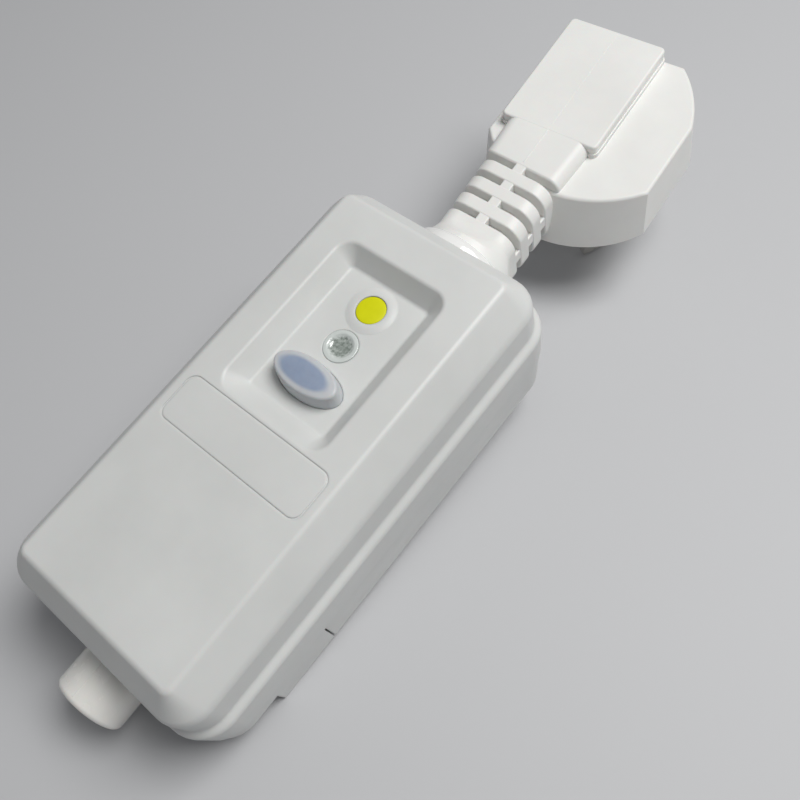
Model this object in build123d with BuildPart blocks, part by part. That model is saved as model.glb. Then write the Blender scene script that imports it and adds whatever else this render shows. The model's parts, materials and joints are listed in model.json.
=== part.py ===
# Portable residual current device with a moulded plug.
# Millimetres. X runs across the case, Y along it towards the plug, Z up out of the face.
# The origin is the middle of the case's underside.
import os
from math import cos, hypot, radians, sin

from build123d import *

os.makedirs("parts", exist_ok=True)

# Case outline, from the face down to the underside
skirt_width = 56.0
skirt_length = 112.4
skirt_radius = 7.9
skirt_draft = 0.2
shoulder_radius = 7.5
shoulder_height = 31.0
shoulder_side_slope = 5.8
shoulder_end_slope = 5.3
face_radius = 1.6
face_height = 38.0
flange_side = 1.6
flange_end = 1.3
flange_radius = 9.2
flange_height = 22.3
flange_edge = 0.65
flange_root = 0.55
lip_draft = 0.4
seam_height = 12.0
seam_gap = 0.2
seam_step = 0.3
tray_radius = 8.4
foot_side_draft = 0.7
foot_end_draft = 0.6
foot_edge = 0.6
wall = 2.0
roof = 1.8
fit = 0.2
overshoot = 1.0
least_corner = 0.4
level_band = 0.1
tongue_thickness = 1.0
tongue_rise = 1.4

# Recessed panel in the face
recess_top_width = 29.2
recess_top_length = 42.5
recess_top_centre = 20.35
recess_top_radius = 4.0
recess_floor_width = 21.5
recess_floor_length = 34.3
recess_floor_centre = 20.85
recess_floor_radius = 0.8
recess_depth = 4.3
recess_wall = 2.1
label_width = 39.8
label_length = 11.5
label_centre = -7.65
label_radius = 2.5
label_line = 0.35
label_depth = 0.15

# Buttons and window
test_button_place = 31.6
test_button_radius = 3.45
test_button_top = 33.5
test_button_crown = 0.3
test_dish_radius = 5.5
test_dish_depth = 0.8
test_stem_radius = 1.5
test_stem_end = 28.6
window_place = 21.4
window_radius = 3.9
window_eye_radius = 2.8
window_eye_depth = 0.5
window_rise = 0.25
window_stop_width = 0.6
window_pocket_top = 32.3
reset_place = 11.1
reset_length = 19.0
reset_breadth = 8.8
reset_top = 36.3
reset_edge = 0.9
reset_core_length = 12.8
reset_core_breadth = 5.5
reset_core_top = 35.3
reset_stem_radius = 2.0
reset_seat_radius = 3.6
reset_seat_thickness = 1.2
reset_dish = 1.6
reset_dish_depth = 0.3
button_gap = 0.25
stop_width = 1.2
stop_thickness = 1.2

# Wiring cover: its seam, and the step in its underside
cover_seam = -25.0
slit = 0.4
step_place = -41.6
step_height = 7.5
hook_width = 20.0
hook_reach = 1.6
hook_thickness = 1.2
hook_root = 3.0

# Cable gland at the near end
axis_height = 14.1
gland_radius = 8.15
gland_gap = 0.4
gland_bore_radius = 4.2
gland_reach = 11.5
gland_flange_radius = 9.7
gland_flange_thickness = 2.4
gland_edge = 2.2
belly_wall = 1.5

# Collar and cord at the far end
collar_radius = 13.8
collar_face = 60.4
collar_wall_radius = 10.8
collar_bore_radius = 8.2
collar_flange_radius = 11.6
collar_flange_thickness = 2.4
collar_edge = 1.1
tail_radius = 8.1
tail_flange_radius = 10.0
tail_flange_thickness = 2.0
cord_radius = 4.0
cord_case_end = 46.0
cord_plug_end = 91.5
cord_bend_radius = 90.0
core_radius = 1.35
core_bend_radius = 3.0
crimp_bend_slack = 0.15
core_across = 1.5
live_core_drop = 0.8
earth_core_rise = 1.7

# Plug, in its own frame, which leans a little about a point just outside the case
plug_lean = 4.15
pivot = 62.0
neck_height = 13.6
neck_half_width = 11.2
neck_start_half_width = 10.7
neck_half_thickness = 8.5
neck_radius = 5.0
neck_start = 66.0
flare_radius = 13.6
flare_flat = 0.05
flare_middle = 63.0
flare_middle_half_width = 11.6
flare_middle_radius = 8.0
root_start = 87.5
root_end = 99.0
root_half_width = 12.3
slot_first = 86.0
slot_pitch = 5.4
slot_count = 4
slot_width = 1.8
slot_depth = 3.0
top_bridge = 2.9
side_bridge = 3.4
bar_half_width = 13.2
bar_end = 133.8
bar_near_height = 22.1
bar_far_height = 22.8
bar_edge = 0.5
disc_centre = 6.9
engaging_face = 5.1
disc_top = 18.7
disc_half_width = 22.1
disc_near = 85.5
disc_near_corner = 96.0
disc_far_corner = 117.4
disc_far_half_width = 11.6
disc_flare = 1.1
disc_foot_near = 80.7
disc_foot_near_corner = 94.0
disc_bulge = 1.4
disc_edge = 0.6

# Pins
pin_width = 8.0
pin_thickness = 1.9
live_pin_length = 21.0
earth_pin_length = 24.0
pin_pattern_centre = 102.9
live_pin_across = 8.23
live_pin_back = 4.75
earth_pin_ahead = 11.1
live_pin_turn = 30.0
pin_head = 5.0
pin_tip = 0.5
pin_shoulder_width = 10.0
pin_shoulder_thickness = 3.4
pin_shoulder_height = 1.5
carrier_width = 30.0
carrier_length = 30.0
carrier_centre = 106.5
carrier_radius = 8.0
carrier_thickness = 3.0

# Screws and their bosses
screw_radius = 1.45
screw_hole_radius = 1.5
screw_head_radius = 2.7
screw_head_height = 1.9
screw_head_edge = 0.7
cross_slot = 0.8
cross_depth = 0.9
cross_span_share = 1.2
boss_radius = 3.4
head_pocket_radius = 3.1
screw_side_inset = 6.6
far_screw_inset = 9.7
mid_screw_place = -18.5
case_screw_seat = 5.0
case_screw_length = 16.0
cover_screw_side_inset = 7.4
cover_screw_inset = 7.2
cover_screw_seat = 9.9
cover_screw_length = 13.0
screw_room = 1.0

# Circuit board and what stands on it
board_width = 35.2
board_near = -5.0
board_far = 40.0
board_height = 24.0
board_thickness = 1.6
led_radius = 2.5
led_dome_share = 0.98
led_top = 31.6
led_base_radius = 2.9
led_base_height = 1.0
leaf_width = 4.0
leaf_thickness = 0.3
leaf_span = 11.0
leaf_gap = 0.3
leaf_foot = 0.45
chip_place = (10.0, 24.0)
chip_width = 6.0
chip_length = 9.9
chip_thickness = 1.5
capacitor_place = (-11.0, 26.0)
capacitor_radius = 2.5
capacitor_height = 5.0
varistor_place = (-11.0, 0.5)
varistor_radius = 4.0
varistor_thickness = 3.0
resistor_place = (11.0, 34.0)
resistor_radius = 1.2
resistor_length = 7.0

# Mechanism frame
frame_half_width = 17.6
frame_wall = 1.8
frame_near = -22.4
frame_far = 41.0
frame_floor = 1.4
bridge_near = 3.0
bridge_far = 19.2
bridge_height = 18.0
bridge_thickness = 2.0
tower_radius = 4.6
tower_bore_radius = 3.75
tower_top = 27.2
tower_gap = 0.3
board_post_length = 4.0
board_post_inset = 0.6
guide_length = 3.0
guide_gap = 0.3

# Contacts
strip_across = 11.0
strip_width = 4.0
strip_thickness = 0.8
rivet_radius = 1.5
rivet_height = 0.8
contact_gap = 0.05
moving_strip_thickness = 0.6
line_rivet_place = 15.7
load_rivet_place = 6.5
rivet_margin = 1.7
line_strip_end = 28.0
line_core_end = 21.0
line_core_turn = 28.5
line_core_landing = 26.5

# Contact carriage
carriage_half_width = 13.0
carriage_near = 4.4
carriage_far = 17.8
carriage_bottom = 7.6
carriage_arm_thickness = 3.4
carriage_middle_half_width = 5.6
slot_clearance = 0.08

# Hook on the reset stem, and the latch plate
hook_groove_radius = 1.2
hook_groove_bottom = 9.3
hook_groove_top = 10.9
hook_head_radius = 2.2
hook_head_height = 1.6
hook_head_edge = 0.6
latch_height = 9.6
latch_thickness = 1.0
latch_half_width = 4.0
latch_far = 17.0
latch_slot_half_width = 1.45
latch_hole_radius = 2.5
latch_travel = 2.5
fork_far = -1.4
fork_thickness = 1.0
fork_bottom = 6.4
fork_top = 15.2
fork_slot_half_width = 1.5
fork_slot_top = 14.2

# Solenoid
solenoid_height = 10.1
solenoid_near = -21.5
solenoid_far = -8.5
solenoid_half_width = 8.0
solenoid_top = 16.8
solenoid_plate = 1.2
plunger_radius = 2.5
plunger_clearance = 0.3
plunger_near = -17.0
plunger_far = -0.2
plunger_groove_radius = 1.2
plunger_groove_near = -2.7
plunger_groove_far = -1.1
plunger_collar_radius = 3.8
plunger_collar_near = -3.5
bobbin_radius = 5.4
bobbin_wall = 0.6
bobbin_cheek = 0.9
coil_radius = 5.0

# Springs: mean radius and number of turns
spring_wire = 0.5
reset_spring_radius = 3.0
reset_spring_turns = 4
opening_spring_radius = 3.0
opening_spring_turns = 2
plunger_spring_radius = 3.15
plunger_spring_turns = 3

# Ring transformer
ring_near = 31.0
ring_length = 8.0
ring_radius = 8.6
ring_bore_radius = 4.0
ring_wall = 0.8
ring_gap = 0.2
cradle_half_width = 5.0
cradle_top = 9.0
cradle_inset = 0.5

# Output terminals
block_near = -38.4
block_far = -29.0
block_half_width = 15.9
block_bottom = 12.6
block_top = 22.6
pocket_floor = 0.8
pocket_gap = 0.1
terminal_width = 7.0
terminal_length = 8.0
terminal_height = 8.0
terminal_pitch = 11.0
wire_hole_radius = 1.7
wire_hole_height = 17.6
wire_hole_depth = 6.5
terminal_screw_radius = 1.6
terminal_thread_radius = 1.65
terminal_screw_length = 4.6
terminal_head_radius = 2.4
terminal_head_height = 1.6
screw_window_radius = 2.9
wire_window_radius = 2.2
block_screw_across = 19.6
block_screw_length = 12.0
ear_thickness = 2.4
ear_end = 22.8

# Cord clamp by the gland
clamp_place = -47.5
clamp_length = 6.0
clamp_inner_radius = 4.3
clamp_thickness = 1.8
clamp_ear_end = 12.2
clamp_ear_thickness = 2.0
clamp_gap = 0.3
clamp_screw_across = 9.4
clamp_screw_length = 9.0
clamp_boss_radius = 2.6
clamp_rib_half_width = 6.0
clamp_rib_length = 2.0

# Earth lead above the mechanism
earth_lead_across = 12.0
earth_lead_height = 21.6
earth_lead_turn = 43.6
earth_lead_level = 40.0
earth_lead_leave = -19.0
earth_lead_bend_radius = 2.4

# Heights and places that follow from the sizes above
shoulder_width = skirt_width - 2 * skirt_draft
shoulder_length = skirt_length - 2 * skirt_draft
face_width = shoulder_width - 2 * shoulder_side_slope
face_length = shoulder_length - 2 * shoulder_end_slope
flange_width = skirt_width + 2 * flange_side
flange_length = skirt_length + 2 * flange_end
lip_width = flange_width - 2 * lip_draft
lip_length = flange_length - 2 * lip_draft
tray_width = lip_width - 2 * seam_step
tray_length = lip_length - 2 * seam_step
foot_width = tray_width - 2 * foot_side_draft
foot_length = tray_length - 2 * foot_end_draft
screw_across = skirt_width / 2 - screw_side_inset
cover_screw_across = skirt_width / 2 - cover_screw_side_inset
far_screw_place = skirt_length / 2 - far_screw_inset
cover_screw_place = cover_screw_inset - skirt_length / 2
recess_floor_height = face_height - recess_depth
panel_under = recess_floor_height - recess_wall
stop_top = panel_under - button_gap
stop_bottom = stop_top - stop_thickness
tray_height = seam_height - seam_gap
skin_end = flange_length / 2
inner_end = skirt_length / 2 - wall
board_top = board_height + board_thickness
frame_floor_top = wall + frame_floor
bridge_top = bridge_height + bridge_thickness
strip_bottom = bridge_height - strip_thickness
moving_strip_top = strip_bottom - 2 * rivet_height - contact_gap
carriage_top = moving_strip_top - moving_strip_thickness
reset_seat_bottom = stop_bottom - reset_seat_thickness
collar_flange_end = inner_end - fit
tail_flange_end = collar_flange_end - collar_flange_thickness - fit
gland_flange_end = -inner_end + fit
terminal_bottom = block_bottom + pocket_floor
terminal_far = block_far - pocket_floor - pocket_gap
terminal_middle = terminal_far - terminal_length / 2
clamp_seat = axis_height + clamp_gap
test_place = (0, test_button_place)
window_middle = (0, window_place)
reset_middle = (0, reset_place)
sides = (-1, 1)
case_screw_rows = (mid_screw_place, far_screw_place)
case_screw_places = [(side * screw_across, along) for side in sides for along in case_screw_rows]
cover_screw_places = [(side * cover_screw_across, cover_screw_place) for side in sides]
block_screw_places = [(side * block_screw_across, terminal_middle) for side in sides]
clamp_screw_places = [(side * clamp_screw_across, clamp_place) for side in sides]
terminal_places = [(step * terminal_pitch, terminal_middle) for step in (-1, 0, 1)]

# The plug's own frame: X across it, Y along it, counted from the same zero as the case
plug_frame = Plane(
    origin=(pivot * sin(radians(plug_lean)), pivot * (1 - cos(radians(plug_lean))), 0),
    x_dir=(cos(radians(plug_lean)), sin(radians(plug_lean)), 0),
    z_dir=(0, 0, 1),
)


def in_plug(across, along, height):
    """A point of the plug's frame, in the case's frame."""
    return plug_frame.from_local_coords(Vector(across, along, height))


def across_plug(along, height):
    """A plane across the plug's length, with its own Y up."""
    return Plane(origin=in_plug(0, along, height), x_dir=plug_frame.x_dir, z_dir=-plug_frame.y_dir)


def tapered_block(low, high, bottom, top):
    """A block between two rounded outlines, each (width, length, radius, centre along Y)."""
    with BuildPart() as tapered:
        for outline, height in ((low, bottom), (high, top)):
            width, length, radius, along = outline
            with BuildSketch(Plane.XY.offset(height)):
                with Locations((0, along)):
                    RectangleRounded(width, length, radius)
        loft(ruled=True)
    return tapered.part


def shrunk(outline, amount):
    """The same outline, drawn in by an amount all round."""
    width, length, radius, along = outline
    return (width - 2 * amount, length - 2 * amount, max(radius - amount, least_corner), along)


def post(radius, bottom, top, place):
    """An upright cylinder."""
    with BuildPart() as upright:
        with BuildSketch(Plane.XY.offset(bottom)):
            with Locations(place):
                Circle(radius)
        extrude(amount=top - bottom)
    return upright.part


def rod(radius, near, far, height, across=0):
    """A cylinder along Y."""
    with BuildPart() as lying:
        with BuildSketch(Plane(origin=(across, near, height), x_dir=(1, 0, 0), z_dir=(0, 1, 0))):
            Circle(radius)
        extrude(amount=far - near)
    return lying.part


def block(low, high):
    """A plain box between two corners."""
    with BuildPart() as box:
        with BuildSketch(Plane.XY.offset(low[2])):
            with Locations(((low[0] + high[0]) / 2, (low[1] + high[1]) / 2)):
                Rectangle(high[0] - low[0], high[1] - low[1])
        extrude(amount=high[2] - low[2])
    return box.part


def level_face(part, height):
    """The face of a part that lies flat at a height."""
    flat = part.faces().filter_by(Axis.Z)
    return flat.filter_by_position(Axis.Z, height - level_band, height + level_band)[0]


def pan_screw(radius, length, head_radius, head_height, seat, place):
    """A screw that points up, with the top of its head at the seat's height and a cross slot below."""
    with BuildPart() as screw:
        with BuildSketch(Plane.XY.offset(seat)):
            with Locations(place):
                Circle(radius)
        extrude(amount=length)
        with BuildSketch(Plane.XY.offset(seat)):
            with Locations(place):
                Circle(head_radius)
        extrude(amount=-head_height)
        fillet(screw.faces().sort_by(Axis.Z)[0].edges(), radius=screw_head_edge)
        with BuildSketch(Plane.XY.offset(seat - head_height)):
            with Locations(place):
                Rectangle(head_radius * cross_span_share, cross_slot)
                Rectangle(cross_slot, head_radius * cross_span_share)
        extrude(amount=cross_depth, mode=Mode.SUBTRACT)
    return screw.part


def coil_spring(plane, radius, turns, length):
    """A spring up the plane's axis, made of half turns that each lie in a tilted plane."""
    rise = (length - spring_wire) / (2 * turns)
    reach = hypot(radius, rise / 2)
    with BuildPart() as spring:
        with BuildLine(plane) as coil:
            for half_turn in range(2 * turns):
                side = 1 if half_turn % 2 == 0 else -1
                low = spring_wire / 2 + half_turn * rise
                ThreePointArc(
                    (side * radius, 0, low), (0, side * reach, low + rise / 2), (-side * radius, 0, low + rise)
                )
        with BuildSketch(Plane(origin=coil.line @ 0, z_dir=coil.line % 0)):
            Circle(spring_wire / 2)
        sweep(path=coil.line)
    print("gap between the spring's turns", round(2 * rise - spring_wire, 2))
    return spring.part


def lead(points, radius, bend_radius):
    """A round wire or cord through a few points, with tangent bends."""
    with BuildPart() as wire:
        with BuildLine() as route:
            FilletPolyline(*points, radius=bend_radius)
        with BuildSketch(Plane(origin=route.line @ 0, z_dir=route.line % 0)):
            Circle(radius)
        sweep(path=route.line)
    return wire.part


def oval(plane, length, breadth, amount):
    """An upright oval block round the reset button's axis."""
    with BuildPart() as block_of_oval:
        with BuildSketch(plane):
            with Locations(reset_middle):
                Ellipse(length / 2, breadth / 2)
        extrude(amount=amount)
    return block_of_oval.part


# Top cover: deep shell with sloped shoulders, a flange, and the recessed panel
face_outline = (face_width, face_length, face_radius, 0)
shoulder_outline = (shoulder_width, shoulder_length, shoulder_radius, 0)
skirt_outline = (skirt_width, skirt_length, skirt_radius, 0)
flange_outline = (flange_width, flange_length, flange_radius, 0)
lip_outline = (lip_width, lip_length, flange_radius, 0)
recess_mouth = (recess_top_width, recess_top_length, recess_top_radius, recess_top_centre)
recess_bed = (recess_floor_width, recess_floor_length, recess_floor_radius, recess_floor_centre)
hollow_top = face_height - roof
rabbet_outline = shrunk(lip_outline, wall)
rabbet_top = seam_height + tongue_rise + fit
shoulder_inside = shoulder_height - roof / 2
screw_hole_top = seam_height + case_screw_length

rib_near = clamp_place - clamp_rib_length / 2
rib_far = clamp_place + clamp_rib_length / 2
shoulder_limit = shrunk(shoulder_outline, wall / 2)
with BuildPart() as cover_room:
    add(tapered_block(shrunk(skirt_outline, wall / 2), shoulder_limit, seam_height, shoulder_height))
    add(tapered_block(shoulder_limit, shrunk(face_outline, wall / 2), shoulder_height, face_height - roof / 2))
with BuildPart() as bosses:
    for place in case_screw_places + cover_screw_places:
        add(post(boss_radius, seam_height + fit, face_height, place))
    for place in block_screw_places:
        add(post(boss_radius, block_bottom + ear_thickness, face_height, place))
    for place in clamp_screw_places:
        add(post(clamp_boss_radius, clamp_seat, face_height, place))
    add(block((-clamp_rib_half_width, rib_near, clamp_seat), (clamp_rib_half_width, rib_far, face_height)))
    add(rod(clamp_inner_radius, rib_near - 1, rib_far + 1, axis_height), mode=Mode.SUBTRACT)
    add(cover_room.part, mode=Mode.INTERSECT)

with BuildPart() as top_cover:
    add(tapered_block(lip_outline, flange_outline, seam_height, flange_height))
    add(tapered_block(skirt_outline, shoulder_outline, flange_height, shoulder_height))
    fillet(level_face(top_cover, flange_height).inner_wires()[0].edges(), radius=flange_root)
    fillet(level_face(top_cover, flange_height).outer_wire().edges(), radius=flange_edge)
    add(tapered_block(shoulder_outline, face_outline, shoulder_height, face_height))
    add(tapered_block(rabbet_outline, rabbet_outline, seam_height - overshoot, rabbet_top), mode=Mode.SUBTRACT)
    add(
        tapered_block(shrunk(skirt_outline, wall), shrunk(shoulder_outline, wall), seam_height, shoulder_inside),
        mode=Mode.SUBTRACT,
    )
    add(
        tapered_block(shrunk(shoulder_outline, wall), shrunk(face_outline, wall), shoulder_inside, hollow_top),
        mode=Mode.SUBTRACT,
    )
    tub_bed = shrunk(recess_bed, -recess_wall)
    tub_mouth = shrunk(recess_mouth, -recess_wall)
    add(tapered_block(tub_bed, tub_mouth, panel_under, hollow_top))
    add(tapered_block(recess_bed, recess_mouth, recess_floor_height, face_height), mode=Mode.SUBTRACT)
    add(bosses.part)
    for place in case_screw_places + cover_screw_places:
        add(post(screw_hole_radius, seam_height, screw_hole_top, place), mode=Mode.SUBTRACT)
    for place in block_screw_places:
        hole_top = block_bottom + block_screw_length + screw_room
        add(post(screw_hole_radius, block_bottom, hole_top, place), mode=Mode.SUBTRACT)
    for place in clamp_screw_places:
        hole_top = clamp_seat + clamp_screw_length
        add(post(screw_hole_radius, clamp_seat - 1, hole_top, place), mode=Mode.SUBTRACT)
    # round openings in the end walls for the gland and the collar
    wall_near = inner_end - overshoot
    wall_far = skin_end + overshoot
    add(rod(gland_radius + gland_gap, -wall_far, -wall_near, axis_height), mode=Mode.SUBTRACT)
    add(rod(collar_wall_radius + fit, wall_near, wall_far, axis_height), mode=Mode.SUBTRACT)
    # dish and hole of the test button, hole of the window, dish and hole of the reset button
    dish_bottom = recess_floor_height - test_dish_depth
    add(post(test_dish_radius, dish_bottom, face_height, test_place), mode=Mode.SUBTRACT)
    add(post(test_button_radius + button_gap, panel_under - 1, face_height, test_place), mode=Mode.SUBTRACT)
    add(post(window_radius + fit / 2, panel_under - 1, face_height, window_middle), mode=Mode.SUBTRACT)
    recess_plane = Plane.XY.offset(recess_floor_height)
    dish_size = (reset_length + 2 * reset_dish, reset_breadth + 2 * reset_dish)
    hole_size = (reset_length + 2 * button_gap, reset_breadth + 2 * button_gap)
    add(oval(recess_plane, *dish_size, -reset_dish_depth), mode=Mode.SUBTRACT)
    add(oval(recess_plane, *hole_size, -recess_wall - overshoot), mode=Mode.SUBTRACT)
    # fine sunk line round the bare label area
    with BuildSketch(Plane.XY.offset(face_height)):
        with Locations((0, label_centre)):
            RectangleRounded(label_width, label_length, label_radius)
            inner_size = (label_width - 2 * label_line, label_length - 2 * label_line)
            RectangleRounded(*inner_size, label_radius - label_line, mode=Mode.SUBTRACT)
    extrude(amount=-label_depth, mode=Mode.SUBTRACT)
top_cover.part.label = "top_cover"
export_step(top_cover.part, "parts/top_cover.step")

# Tray under the parting line: walls that draw in downwards, a tongue inside the top edge
tray_outline = (tray_width, tray_length, tray_radius, 0)
foot_outline = (foot_width, foot_length, tray_radius, 0)
tongue_outline = shrunk(rabbet_outline, fit / 2)
tongue_inside = shrunk(tongue_outline, tongue_thickness)
tongue_top = tray_height + tongue_rise
with BuildPart() as tray_form:
    add(tapered_block(shrunk(foot_outline, foot_edge), foot_outline, 0, foot_edge))
    add(tapered_block(foot_outline, tray_outline, foot_edge, tray_height))
tray_solid = tray_form.part
with BuildPart() as tray_tongue:
    tongue_root = shrunk(tray_outline, wall / 2)
    root_bottom = tray_height - wall
    add(tapered_block(tongue_outline, tongue_outline, tray_height, tongue_top))
    add(tapered_block(tongue_root, tongue_root, root_bottom, tray_height))
    add(tapered_block(tongue_inside, tongue_inside, root_bottom - 1, tongue_top + 1), mode=Mode.SUBTRACT)
    add(rod(gland_radius + gland_gap, -skin_end, -inner_end + overshoot, axis_height), mode=Mode.SUBTRACT)
    add(rod(collar_wall_radius + fit, inner_end - overshoot, skin_end, axis_height), mode=Mode.SUBTRACT)
tongue_solid = tray_tongue.part
hollow_foot = shrunk(foot_outline, wall)
hollow_mouth = shrunk(tray_outline, wall)
tray_hollow = tapered_block(hollow_foot, hollow_mouth, wall, tray_height + overshoot)

# Base: the far part of the tray, closed by a partition at the wiring cover's seam
base_near = cover_seam + slit / 2
reach = flange_length
far_room = block((-reach, base_near, -reach), (reach, reach, reach))
with BuildPart() as base:
    add(tray_solid)
    add(tray_hollow, mode=Mode.SUBTRACT)
    add(tongue_solid)
    with BuildPart(mode=Mode.PRIVATE) as partition:
        add(block((-reach, base_near, 0), (reach, base_near + wall, tray_height)))
        add(tray_solid, mode=Mode.INTERSECT)
    add(partition.part)
    for place in case_screw_places:
        add(post(boss_radius, wall / 2, seam_height, place))
    for place in case_screw_places:
        add(post(head_pocket_radius, -1, case_screw_seat, place), mode=Mode.SUBTRACT)
        add(post(screw_hole_radius, 0, seam_height + 1, place), mode=Mode.SUBTRACT)
    add(rod(collar_wall_radius + fit, inner_end - overshoot, skin_end, axis_height), mode=Mode.SUBTRACT)
    window_low = (-hook_width / 2 - fit, base_near - 1, wall)
    window_high = (hook_width / 2 + fit, base_near + wall + 1, wall + hook_thickness + 2 * fit)
    add(block(window_low, window_high), mode=Mode.SUBTRACT)
    add(far_room, mode=Mode.INTERSECT)
base.part.label = "base"
export_step(base.part, "parts/base.step")

# Wiring cover: the near part of the tray, stepped up at its end, with a round belly under the gland
cover_far = cover_seam - slit / 2
near_room = block((-reach, -reach, -reach), (reach, cover_far, reach))
belly_inside = gland_flange_radius + fit
step_inside = step_place + wall
with BuildPart() as step_cut:
    add(block((-reach, -reach, -1), (reach, step_place, step_height)))
    add(rod(belly_inside + belly_wall, -reach, step_inside, axis_height), mode=Mode.SUBTRACT)
with BuildPart() as wiring_room:
    add(block((-reach, step_inside, wall), (reach, 0, seam_height + 2)))
    add(block((-reach, -reach, step_height + wall), (reach, step_inside, seam_height + 2)))
    add(rod(belly_inside, -reach, step_inside + 1, axis_height))
    add(tray_hollow, mode=Mode.INTERSECT)
with BuildPart() as wiring_cover:
    add(tray_solid)
    add(step_cut.part, mode=Mode.SUBTRACT)
    add(wiring_room.part, mode=Mode.SUBTRACT)
    add(tongue_solid)
    for place in cover_screw_places:
        add(post(boss_radius, step_height + wall / 2, seam_height, place))
    for place in cover_screw_places:
        add(post(head_pocket_radius, step_height - 1, cover_screw_seat, place), mode=Mode.SUBTRACT)
        add(post(screw_hole_radius, step_height, seam_height + 1, place), mode=Mode.SUBTRACT)
    add(rod(gland_radius + gland_gap, -skin_end - 1, -inner_end + overshoot, axis_height), mode=Mode.SUBTRACT)
    add(near_room, mode=Mode.INTERSECT)
    hook_low = (-hook_width / 2, cover_far - hook_root, wall / 2)
    add(block(hook_low, (hook_width / 2, cover_far, wall + fit / 2 + hook_thickness)))
    hook_tip = (hook_width / 2, base_near + hook_reach, wall + fit / 2 + hook_thickness)
    add(block((-hook_width / 2, cover_far - hook_root, wall + fit / 2), hook_tip))
wiring_cover.part.label = "wiring_cover"
export_step(wiring_cover.part, "parts/wiring_cover.step")

# Soft gland in the near wall
with BuildPart() as output_gland:
    add(rod(gland_radius, -shoulder_length / 2 - gland_reach, gland_flange_end + fit, axis_height))
    fillet(output_gland.faces().sort_by(Axis.Y)[0].edges(), radius=gland_edge)
    add(rod(gland_flange_radius, gland_flange_end, gland_flange_end + gland_flange_thickness, axis_height))
    add(rod(gland_bore_radius, -reach, 0, axis_height), mode=Mode.SUBTRACT)
output_gland.part.label = "output_gland"
export_step(output_gland.part, "parts/output_gland.step")

# Collar that closes the far wall round the neck's tail
with BuildPart() as cord_collar:
    add(rod(collar_radius, skin_end + fit, collar_face, axis_height))
    fillet(cord_collar.faces().sort_by(Axis.Y)[-1].edges(), radius=collar_edge)
    add(rod(collar_wall_radius, collar_flange_end, skin_end + fit, axis_height))
    add(rod(collar_flange_radius, collar_flange_end - collar_flange_thickness, collar_flange_end, axis_height))
    add(rod(collar_bore_radius, 0, reach, axis_height), mode=Mode.SUBTRACT)
cord_collar.part.label = "cord_collar"
export_step(cord_collar.part, "parts/cord_collar.step")

# Cord in the neck, from the crimps in the plug to the inside of the case
cord_start = (0, cord_case_end, axis_height)
cord_bend = (0, pivot, axis_height)
cord_finish = in_plug(0, cord_plug_end, neck_height)
supply_cord = lead((cord_start, cord_bend, cord_finish), cord_radius, cord_bend_radius)
supply_cord.label = "supply_cord"
export_step(supply_cord, "parts/supply_cord.step")

# Pins, each a blade with a shoulder that rests on the carrier
live_pin_places = [(disc_centre + side * live_pin_across, pin_pattern_centre - live_pin_back) for side in sides]
earth_pin_place = (disc_centre, pin_pattern_centre + earth_pin_ahead)
pin_top = engaging_face + pin_head


def pin_part(place, turn, length):
    """A flat pin that points down from the engaging face."""
    with BuildPart() as pin:
        with BuildSketch(plug_frame.offset(engaging_face - length)):
            with Locations(place):
                Rectangle(pin_thickness, pin_width, rotation=turn)
        extrude(amount=length + pin_head)
        chamfer(pin.faces().sort_by(Axis.Z)[0].edges(), length=pin_tip)
        with BuildSketch(plug_frame.offset(engaging_face + carrier_thickness)):
            with Locations(place):
                Rectangle(pin_shoulder_thickness, pin_shoulder_width, rotation=turn)
        extrude(amount=pin_shoulder_height)
    return pin.part


neutral_pin = pin_part(live_pin_places[0], live_pin_turn, live_pin_length)
live_pin = pin_part(live_pin_places[1], -live_pin_turn, live_pin_length)
earth_pin = pin_part(earth_pin_place, 0, earth_pin_length)
pins = {"neutral_pin": neutral_pin, "live_pin": live_pin, "earth_pin": earth_pin}
for name, pin_solid in pins.items():
    pin_solid.label = name
    export_step(pin_solid, f"parts/{name}.step")

# Hard carrier that holds the pins, flush with the engaging face
with BuildPart() as pin_carrier:
    with BuildSketch(plug_frame.offset(engaging_face)):
        with Locations((disc_centre, carrier_centre)):
            RectangleRounded(carrier_width, carrier_length, carrier_radius)
    extrude(amount=carrier_thickness)
    carrier_blank = pin_carrier.part
    for pin_solid in pins.values():
        add(pin_solid, mode=Mode.SUBTRACT)
pin_carrier.part.label = "pin_carrier"
export_step(pin_carrier.part, "parts/pin_carrier.step")

# Cores of the cord: one end crimped on its pin, the other led through the case
core_low = axis_height - live_core_drop
core_high = axis_height + earth_core_rise
plug_core_low = neck_height - live_core_drop
plug_core_high = neck_height + earth_core_rise
core_landing = strip_bottom - core_radius
plug_bend = core_radius + crimp_bend_slack


def line_lead(side):
    """The core from the cord through the ring to the line contact on one side."""
    points = [
        (side * core_across, cord_case_end, core_low),
        (side * core_across, line_core_turn, core_low),
        (side * strip_across, line_core_landing, core_landing),
        (side * strip_across, line_core_end, core_landing),
    ]
    return lead(points, core_radius, core_bend_radius)


def plug_lead(side, place, height):
    """The core from the cord's end in the plug to the top of its pin."""
    points = [
        in_plug(side * core_across, cord_plug_end + core_radius, height),
        in_plug(*place, height),
        in_plug(*place, pin_top),
    ]
    return lead(points, core_radius, plug_bend)


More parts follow.
